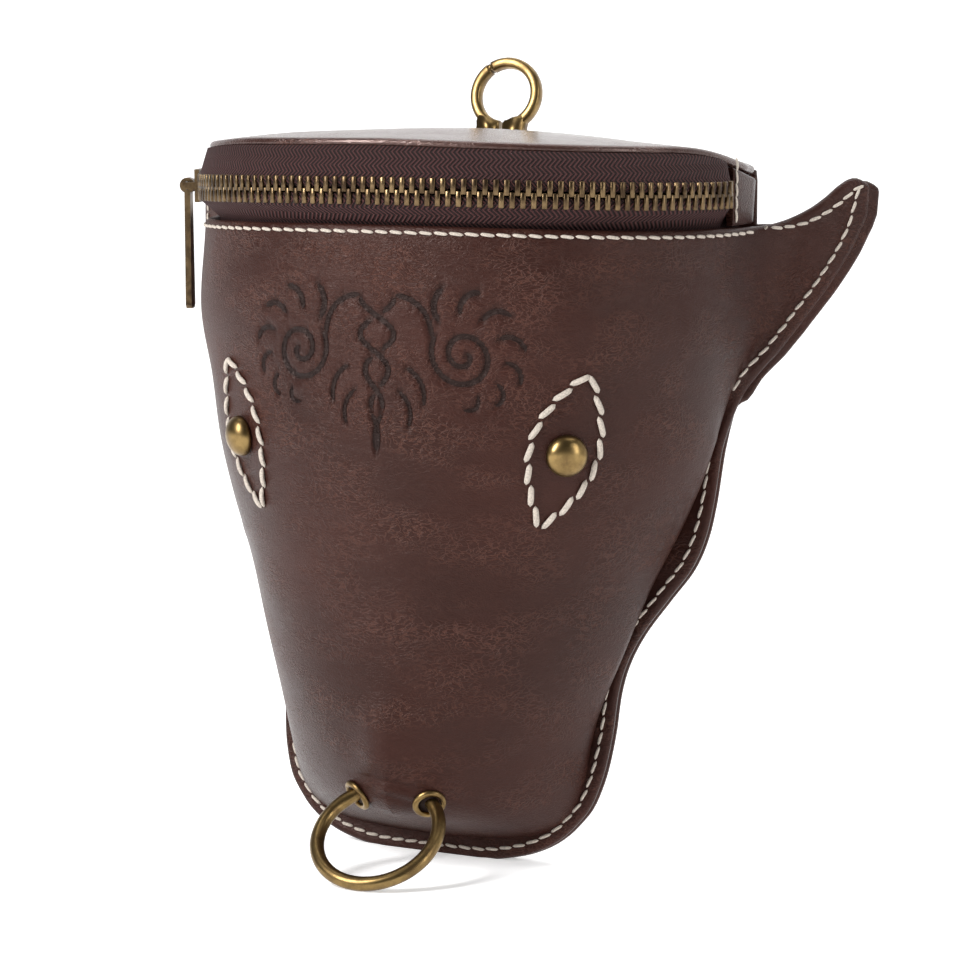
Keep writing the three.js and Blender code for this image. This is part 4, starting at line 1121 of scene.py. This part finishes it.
for side, word in ((1, "right"), (-1, "left")):
    for y, face in ((flangeY, -1), (sizes["gap"] / 2 + sizes["backWall"], 1)):
        flange = np.stack([flangePath[:, 0] * side, np.full(len(flangePath), y), flangePath[:, 1]], -1)
        lower = hornLine(2.4, side, y, False)
        lower = lower[lower[:, 2] > flange[-1, 2] + 1.5]
        upper = hornLine(2.4, side, y, True)
        loop = np.concatenate([flange, lower, upper[::-1]])
        loop[:, 2] = np.maximum(loop[:, 2], loop[:, 1] * math.tan(lean) + 2.0)
        bend = 1.5 * hornShape["sweep"] / hornShape["reach"] * np.sqrt(
            np.clip((np.abs(loop[:, 0]) - 68) / hornShape["reach"], 0, 1))
        normal = np.stack([-side * bend, np.ones(len(loop)), np.zeros(len(loop))], -1) * face
        if face < 0:
            for k, spot in enumerate(loop):
                if abs(spot[0]) > 60 and spot[2] > 104:
                    found = frontTree.ray_cast(Vector((spot[0], -60, spot[2])), Vector((0, 1, 0)), 110)
                    if found[0] is not None and abs(found[0].y - spot[1]) < 3.5:
                        loop[k] = found[0]
                        normal[k] = np.array(found[1]) * (-1 if found[1].y > 0 else 1)
        sewBack(f"seam_{word}_{'front' if face < 0 else 'back'}", loop, normal, fromBack,
                slant=seamStitch["slant"] * side * face)


# lip
def lipLine(drop):
    turns = np.linspace(0.05, math.pi - 0.05, 220)
    fine = np.linspace(0, 2.4, 70)
    points, normals = [], []
    for turn in turns:
        line = bodyPoint(fine, turn)
        level = mouthOf(line)
        at = np.interp(0, levelAt(sizes["lip"], level[:, 0]) - drop - level[:, 2], fine)
        spot = bodyPoint(at, turn)
        down = bodyPoint(at + 0.05, turn) - bodyPoint(at - 0.05, turn)
        across = bodyPoint(at, turn + 0.02) - bodyPoint(at, turn - 0.02)
        normal = np.cross(down, across)
        normal /= np.linalg.norm(normal)
        if normal @ np.array([spot[0], -30, 0]) < 0:
            normal = -normal
        points.append(spot)
        normals.append(normal)
    return np.array(points), np.array(normals)


lipPoints, lipNormals = lipLine(1.7)
for k, spot in enumerate(lipPoints):
    if abs(spot[0]) > 58:
        away = Vector((np.sign(spot[0]), -1.0, 0)).normalized()
        found = frontTree.ray_cast(Vector(spot) + away * 14, -away, 30)
        if found[0] is not None and (Vector(found[0]) - Vector(spot)).length < 6:
            lipPoints[k] = found[0]
            lipNormals[k] = np.array(found[1]) * (1 if found[1].dot(away) > 0 else -1)
sewBack("seam_lip", lipPoints[::-1], lipNormals[::-1], fromBack, slant=-6.0)

tabTurn = turnAt(zipShape["tabReach"] + 2.9, 1)
tabHeights = np.linspace(sizes["lip"] - 0.8, zipShape["lid"] - 5.0, 20)
tabPath = np.array([mouthPoint(0, tabTurn, z) for z in tabHeights])
tabOut = mouthPoint(0, tabTurn + 0.01, 160.0) - mouthPoint(0, tabTurn - 0.01, 160.0)
tabOut = np.array([-tabOut[1], tabOut[0], 0]) / np.linalg.norm(tabOut[:2])
tabOut = tabOut if tabOut[0] > 0 else -tabOut
sewBack("seam_tab", tabPath, np.tile(tabOut, (len(tabPath), 1)), fromMouth, slant=8.0, pitch=3.0)

# eyes: a pointed oval of long hand stitches round each stud
eye = {"centre": (41.5, 96.8), "top": (46.6, 114.9), "bottom": (35.8, 79.6), "half": 6.3, "stitches": 8,
       "length": 4.9, "width": 1.45, "height": 1.05}
eyeUnit = stitchUnit("eyeStitchUnit", eye["length"], eye["width"], eye["height"])
for side, word in ((1, "right"), (-1, "left")):
    top, bottom = np.array(eye["top"]), np.array(eye["bottom"])
    axis = top - bottom
    axisLength = np.linalg.norm(axis)
    axis /= axisLength
    sideways = np.array([axis[1], -axis[0]])
    spots, directions, normals = [], [], []
    for bow in (1, -1):
        share = np.linspace(0, 1, 60)
        bulge = np.sin(np.pi * share) ** 0.9 * eye["half"] * bow
        flat = bottom + np.outer(share * axisLength, axis) + np.outer(bulge, sideways)
        path = []
        for x, z in flat:
            hit, normal = onFront(x * side, z)
            path.append(np.concatenate([hit, normal]))
        path = np.array(path)
        pathLength = np.linalg.norm(np.diff(path[:, :3], axis=0), axis=1).sum()
        place, direction, at = evenly(path[:, :3], pathLength / eye["stitches"] * 0.999)
        out = np.stack([np.interp(at, runOf(path[:, :3]), path[:, 3 + k]) for k in range(3)], -1)
        out /= np.linalg.norm(out, axis=1)[:, None]
        spots.append(place + out * 0.1)
        directions.append(turned(direction, out, 13.0 * bow * side))
        normals.append(out)
    spots, directions, normals = map(np.concatenate, (spots, directions, normals))
    zero = fromBack(np.zeros(3))
    repeatAlong(f"eye_stitches_{word}", fromBack(spots), (fromBack(directions) - zero) * 1000,
                (fromBack(normals) - zero) * 1000, eyeUnit, thread, wobble=0.1, seed=5)
print("stitches ready")


# teeth of the zip
def toothUnit(name):
    bm = bmesh.new()
    bmesh.ops.create_cube(bm, size=1.0)
    for v in bm.verts:
        v.co = (v.co.x * 0.00125, v.co.y * 0.0036, v.co.z * 0.0023)
    bmesh.ops.bevel(bm, geom=list(bm.edges), offset=0.00016, segments=1, affect="EDGES")
    return unitFrom(name, bm)


tooth = toothUnit("toothUnit")
chainTurns = np.linspace(turnAt(zipShape["tabReach"] + 3.2, 1),
                         turnAt(zipShape["slider"] + 7.6 / 2 + 0.6, -1), 500)
chainPoints = []
for t in chainTurns:
    place = mouthPoint(chainInset(t), t, sizes["chain"])
    place[2] = levelAt(sizes["chain"], place[0])
    chainPoints.append(place)
chainPoints = np.array(chainPoints)
zero = fromMouth(np.zeros(3))
for side, word, start in ((1, "upper", 0.5), (-1, "lower", 1.0)):
    place, direction, _ = evenly(chainPoints, zipShape["pitch"], start)
    out = np.cross(direction, [0, 0, 1.0])
    out = np.where((out[:, :1] * place[:, :1] + out[:, 1:2] * (place[:, 1:2] - 5)) > 0, out, -out)
    out /= np.linalg.norm(out, axis=1)[:, None]
    place = place + np.array([0, 0, side * (zipShape["toothHeight"] / 2 - zipShape["toothLap"] / 2)])
    repeatAlong(f"teeth_{word}", fromMouth(place), (fromMouth(direction) - zero) * 1000,
                (fromMouth(out) - zero) * 1000, tooth, zipBrass, wobble=0.0, seed=7,
                replaces=(f"zip_teeth_{word}",))
for unit in (smallUnit, eyeUnit, tooth):
    bpy.data.objects.remove(unit)
print("zip teeth ready")


# Brass
def lathePiece(name, profile, segments, matrix, material, node, body="root", closed=False):
    points, faces = [], []
    rings = len(profile)
    for radius, height in profile:
        for k in range(segments):
            a = 2 * math.pi * k / segments
            points.append(matrix @ Vector((radius * math.cos(a), height, radius * math.sin(a))))
    last = rings if closed else rings - 1
    for i in range(last):
        for k in range(segments):
            a, b = i * segments, ((i + 1) % rings) * segments
            faces.append((a + k, a + (k + 1) % segments, b + (k + 1) % segments, b + k))
    bm = mergeGrid(points, faces, near=0.001)
    bmesh.ops.recalc_face_normals(bm, faces=bm.faces)
    return finishPiece(pieceFrom(name, bm, fromBack), material, body=body, replaces=(node,) if node else ())


eyePlace = (4.02, 40.5)
nostrilPlace = (11.1, 26.5)
ringShape = {"radius": 14.8, "wire": 1.7}


def surfaceAt(place, side):
    row, turn = place[0], math.pi / 2 - math.radians(place[1]) * side
    spot = bodyPoint(row, turn)
    down = bodyPoint(row + 0.02, turn) - bodyPoint(row - 0.02, turn)
    across = bodyPoint(row, turn + 0.02) - bodyPoint(row, turn - 0.02)
    normal = np.cross(down, across)
    normal /= np.linalg.norm(normal)
    return spot, normal if normal[1] < 0 else -normal


def seatMatrix(spot, normal):
    quaternion = Vector((0, 1, 0)).rotation_difference(Vector(normal))
    return Matrix.Translation(Vector(spot)) @ quaternion.to_matrix().to_4x4()


def rounded(corners, radius=0.3, steps=3):
    result = []
    count = len(corners)
    for i in range(count):
        p, a, b = (Vector(corners[i]), Vector(corners[i - 1]), Vector(corners[(i + 1) % count]))
        u, w = (a - p), (b - p)
        cut = min(radius, u.length * 0.45, w.length * 0.45)
        for k in range(steps + 1):
            s = k / steps
            result.append(tuple((p + u.normalized() * cut) * (1 - s) ** 2 + p * 2 * s * (1 - s)
                                + (p + w.normalized() * cut) * s**2))
    return result


stud = {"radius": 4.9, "height": 4.0, "post": 1.5}
for side, word in ((1, "right"), (-1, "left")):
    spot, normal = surfaceAt(eyePlace, side)
    dome = [(0.0001, -4.0), (3.7, -4.0), (3.7, -3.0), (stud["post"], -3.0), (stud["post"], 0.15),
            (stud["radius"] - 0.25, 0.15), (stud["radius"], 0.35), (stud["radius"], 0.75)]
    for k in range(1, 15):
        a = math.pi / 2 * k / 14
        dome.append((max(stud["radius"] * math.cos(a), 0.0001), 0.75 + (stud["height"] - 0.75) * math.sin(a)))
    lathePiece(f"stud_{word}", dome, 48, seatMatrix(spot, normal), brass, f"eye_stud_{word}")

ringSpot, ringNormal = surfaceAt(nostrilPlace, 1)
ringCentre = ringSpot - ringNormal * sizes["wall"] / 2
ringHeight = ringCentre[2] * math.cos(lean) - ringCentre[1] * math.sin(lean)
ringReach = math.sqrt(ringShape["radius"] ** 2 - ringCentre[0] ** 2)
ringTilt = math.acos((ringHeight - ringShape["wire"]) / (ringReach + ringShape["radius"]))
ringDown = turnX(np.array([0, -math.sin(ringTilt), -math.cos(ringTilt)]), lean)
opening = math.asin(ringCentre[0] / ringShape["radius"])
for side, word in ((1, "right"), (-1, "left")):
    axis = np.array([side * math.cos(opening), 0, 0]) + ringDown * math.sin(opening)
    surface, facing = surfaceAt(nostrilPlace, side)
    axis = axis * 0.25 + facing * 0.75
    axis /= np.linalg.norm(axis)
    seat = seatMatrix(surface - facing * 0.1, axis)
    barrel = [(2.6, -1.4), (3.4, -1.4), (3.4, -0.5), (4.05, -0.4), (4.15, 0.1), (3.9, 0.6), (3.3, 0.85),
              (2.75, 0.6),
              (2.6, 0.1)]
    lathePiece(f"eyelet_ring_{word}", rounded(barrel, 0.25, 3), 48, seat, brass, f"eyelet_{word}", closed=True)
    # a dark disc in the eyelet's hole: painted shade
    dark = [(0.0001, -0.9), (2.62, -0.9), (2.62, 0.12), (0.0001, 0.12)]
    lathePiece(f"eyelet_hole_{word}", dark, 32, seat, paintedShadeLeather, None)


def ringPiece():
    segments, around = 120, 20
    ringMiddle = np.array([0, ringCentre[1], ringCentre[2]]) + ringDown * ringReach
    xAxis = np.array([1.0, 0, 0])
    flat = np.cross(xAxis, ringDown)
    points = []
    for i in range(segments):
        a = 2 * math.pi * i / segments
        radial = xAxis * math.sin(a) + ringDown * math.cos(a)
        for j in range(around):
            b = 2 * math.pi * j / around
            points.append(ringMiddle + radial * (ringShape["radius"] + ringShape["wire"] * math.cos(b))
                          + flat * ringShape["wire"] * math.sin(b))
    faces = []
    for i in range(segments):
        for j in range(around):
            k, m = (i + 1) % segments, (j + 1) % around
            faces.append((i * around + j, i * around + m, k * around + m, k * around + j))
    piece = meshFrom("nose_wire", points, faces, fromBack)
    return finishPiece(faceOut(piece), brass, body="nose_ring", replaces=("nose_ring",))


ringPiece()

# hanging ring: two halves swept from one rounded section
snap = {"centre": (-2.8, 6.5, 191.8), "inner": 6.85, "band": 2.75, "depth": 3.5, "pin": 124.0,
        "neck": 12.5, "bar": 21.0}
snapMiddle = snap["inner"] + snap["band"] / 2


def sweptBar(stations, section=20, power=3.2):
    points = []
    for x, z, angle, wide, deep in stations:
        across = np.array([math.cos(angle), 0, math.sin(angle)])
        for k in range(section):
            a = 2 * math.pi * k / section
            c, s = math.cos(a), math.sin(a)
            u = math.copysign(abs(c) ** (2 / power), c) * wide / 2
            w = math.copysign(abs(s) ** (2 / power), s) * deep / 2
            points.append(np.array([x, 0, z]) + across * u + np.array([0, w, 0]))
    return points, loftFaces(len(stations), section)


def snapPlace(points):
    return fromBack(np.asarray(points, float) + np.array(snap["centre"]))


def arcStations(start, end, count, wide, deep):
    for angle in np.radians(np.linspace(start, end, count)):
        yield snapMiddle * math.cos(angle), snapMiddle * math.sin(angle), angle, wide, deep


footShape = [(0.15, -6.9), (3.0, -6.6), (5.6, -4.9), (6.3, -6.6), (5.9, -9.0), (5.9, -10.9),
             (5.2, -12.5), (0.15, -12.5)]


def footPart(side, shift):
    bm = bmesh.new()
    rings = []
    for y in (-snap["depth"] / 2, snap["depth"] / 2):
        rings.append([bm.verts.new((side * x + shift, y, z)) for x, z in footShape])
    bm.faces.new(rings[0])
    bm.faces.new(rings[1][::-1])
    for i in range(len(footShape)):
        k = (i + 1) % len(footShape)
        bm.faces.new((rings[0][k], rings[0][i], rings[1][i], rings[1][k]))
    bmesh.ops.bevel(bm, geom=list(bm.edges), offset=0.45, segments=3, affect="EDGES")
    bm.verts.index_update()
    points = [np.array(v.co[:]) for v in bm.verts]
    faces = [tuple(v.index for v in face.verts) for face in bm.faces]
    bm.free()
    return points, faces


def joinParts(name, parts, place):
    points, faces = [], []
    for partPoints, partFaces in parts:
        start = len(points)
        points += list(partPoints)
        faces += [tuple(i + start for i in face) for face in partFaces]
    return faceOut(meshFrom(name, points, faces, place))


knuckle = snap["band"] / 2
pinAngle = math.radians(snap["pin"])
pinPlace = (snapMiddle * math.cos(pinAngle), snapMiddle * math.sin(pinAngle))
cutBack = math.degrees((knuckle * 0.35) / snapMiddle)


def barBetween(x0, z0, x1, z1, wide, deep, count=6):
    angle = math.atan2(z1 - z0, x1 - x0) + math.pi / 2
    return sweptBar([(x0 + (x1 - x0) * s, z0 + (z1 - z0) * s, angle, wide, deep)
                     for s in np.linspace(0, 1, count)])


def discPart(x, z, radius, y0, y1, segments=24):
    points = []
    for y, r in ((y0, radius * 0.85), (y0 + 0.25, radius), (y1 - 0.25, radius), (y1, radius * 0.85)):
        points += [np.array([x + r * math.cos(a), y, z + r * math.sin(a)])
                   for a in np.linspace(0, 2 * np.pi, segments, endpoint=False)]
    return points, loftFaces(4, segments)


half = 7.0 + 0.3 + snap["band"] / 2
fixedArc = list(arcStations(-86, snap["pin"] - cutBack, 60, snap["band"], snap["depth"]))
fixedParts = [sweptBar(fixedArc), footPart(1, 0.0),
              barBetween(-half, -snap["neck"] - 0.9, half, -snap["neck"] - 0.9, 2.6, snap["depth"]),
              barBetween(-half, -snap["neck"] - 0.9, -half, -snap["bar"], 2.6, snap["depth"]),
              barBetween(half, -snap["neck"] - 0.9, half, -snap["bar"], 2.6, snap["depth"]),
              barBetween(-half, -snap["bar"], half, -snap["bar"], 2.9, 2.9),
              discPart(*pinPlace, 0.75, -snap["depth"] / 2 - 0.25, snap["depth"] / 2 + 0.25)]
finishPiece(joinParts("hanging_ring", fixedParts, snapPlace), brass, replaces=("snap_ring",))
gateArc = list(arcStations(snap["pin"] + cutBack, 262, 40, snap["band"], snap["depth"] - 0.1))
gateParts = [sweptBar(gateArc), footPart(-1, -0.9)]
finishPiece(joinParts("hanging_gate", gateParts, snapPlace), brass, body="snap_gate", replaces=("snap_gate",))


# hanger: a strip folded round the bar and sewn to the back
def makeHanger():
    thick, wide = 2.1, 14.0
    barReach = 1.5 + 0.35 + thick / 2
    behind = snap["centre"][1] - (sizes["gap"] / 2 + sizes["backWall"]) - 0.2 - thick / 2
    path = [(-behind, -34 + 34 * s) for s in np.linspace(0, 0.93, 16)]
    path += [(-barReach * math.cos(a), barReach * math.sin(a)) for a in np.linspace(0.1, math.pi - 0.1, 18)]
    fall = barReach + behind - thick * 1.05 - 1.2
    path += [(barReach - 1.2 * s - fall * smooth(s, 0.05, 0.6), -1.5 - 31 * s)
             for s in np.linspace(0, 1, 16)]
    path = np.array([(float(a), float(b)) for a, b in path])
    direction = np.gradient(path, axis=0)
    direction /= np.linalg.norm(direction, axis=1)[:, None]
    section = 16
    points = []
    for (y, z), (dy, dz) in zip(path, direction):
        normal = np.array([0, -dz, dy])
        for k in range(section):
            a = 2 * math.pi * k / section
            c, s = math.cos(a), math.sin(a)
            u = math.copysign(abs(c) ** 0.25, c) * wide / 2
            w = math.copysign(abs(s) ** 0.8, s) * thick / 2
            points.append(np.array([u, y, z]) + normal * w)
    place = np.array(snap["centre"]) + np.array([0, 0, -snap["bar"]])
    piece = meshFrom("hanger_strap", points, loftFaces(len(path), section), lambda p: fromBack(p + place))
    return finishPiece(faceOut(piece), leatherPlain, replaces=("hanger",))


makeHanger()
for node in ("zip_slider", "zip_pull"):
    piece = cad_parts[node]
    piece.data.materials.clear()
    piece.data.materials.append(zipBrass)
print("brass ready")

# Studio, camera and lights
studio = {"key": 15.0, "fill": 5.5, "top": 17.0, "world": 0.05, "floorGlow": 0.42}


def areaLight(name, place, target, size, power, colour=(1, 1, 1)):
    data = bpy.data.lights.new(name, "AREA")
    data.shape = "RECTANGLE"
    data.size, data.size_y = size
    data.energy = power
    data.color = colour
    light = bpy.data.objects.new(name, data)
    light.location = place
    light.rotation_euler = (Vector(target) - Vector(place)).to_track_quat("-Z", "Y").to_euler()
    bpy.context.scene.collection.objects.link(light)
    return light


def makeFloor():
    bend = np.linspace(0, np.pi / 2, 16)
    sweep = [(-9.0, 0.0)] + [(0.9 + 0.6 * math.sin(a), 0.6 - 0.6 * math.cos(a)) for a in bend]
    sweep.append((1.5, 3.0))
    points = [(x, y, z) for y, z in sweep for x in (-9.0, 9.0)]
    faces = [(2 * i, 2 * i + 1, 2 * i + 3, 2 * i + 2) for i in range(len(sweep) - 1)]
    floor = meshFrom("floor", points, faces, lambda p: p)
    material, tree, shader = newMaterial("paleFloor")
    shader.inputs["Base Color"].default_value = (0.9, 0.9, 0.9, 1)
    shader.inputs["Roughness"].default_value = 0.8
    shader.inputs["Specular IOR Level"].default_value = 0.0
    shader.inputs["Emission Color"].default_value = (1, 1, 1, 1)
    shader.inputs["Emission Strength"].default_value = studio["floorGlow"]
    floor.data.materials.append(material)
    return floor


makeFloor()
target = (0.0, 0.0, 0.09)
areaLight("keyLight", (-0.5, -0.82, 0.66), target, (0.22, 0.6), studio["key"])
areaLight("fillLight", (1.15, -0.28, 0.5), target, (0.3, 0.8), studio["fill"])
areaLight("topLight", (0.0, 0.5, 1.5), (0.0, 0.3, 0.0), (1.6, 1.4), studio["top"])
world = bpy.data.worlds.new("studioWorld")
world.use_nodes = True
world.node_tree.nodes["Background"].inputs[0].default_value = (1, 1, 1, 1)
world.node_tree.nodes["Background"].inputs[1].default_value = studio["world"]
bpy.context.scene.world = world

view = {"place": (253.48, -598.12, 49.22), "right": (0.9205, 0.3791, 0.0945),
        "up": (-0.0618, -0.0976, 0.9933), "lens": 97.5}
cameraData = bpy.data.cameras.new("camera")
cameraData.lens = view["lens"]
cameraData.sensor_width = 36.0
camera = bpy.data.objects.new("camera", cameraData)
bpy.context.scene.collection.objects.link(camera)
right = Vector(turnX(np.array(view["right"]), -lean)).normalized()
up = Vector(turnX(np.array(view["up"]), -lean))
up = (up - right * up.dot(right)).normalized()
toward = right.cross(up)
place = fromBack(np.array(view["place"]))
camera.matrix_world = Matrix(((right.x, up.x, toward.x, place[0]), (right.y, up.y, toward.y, place[1]),
                              (right.z, up.z, toward.z, place[2]), (0, 0, 0, 1)))
bpy.context.scene.camera = camera
bpy.context.scene.view_settings.view_transform = "Standard"

print("studio ready")
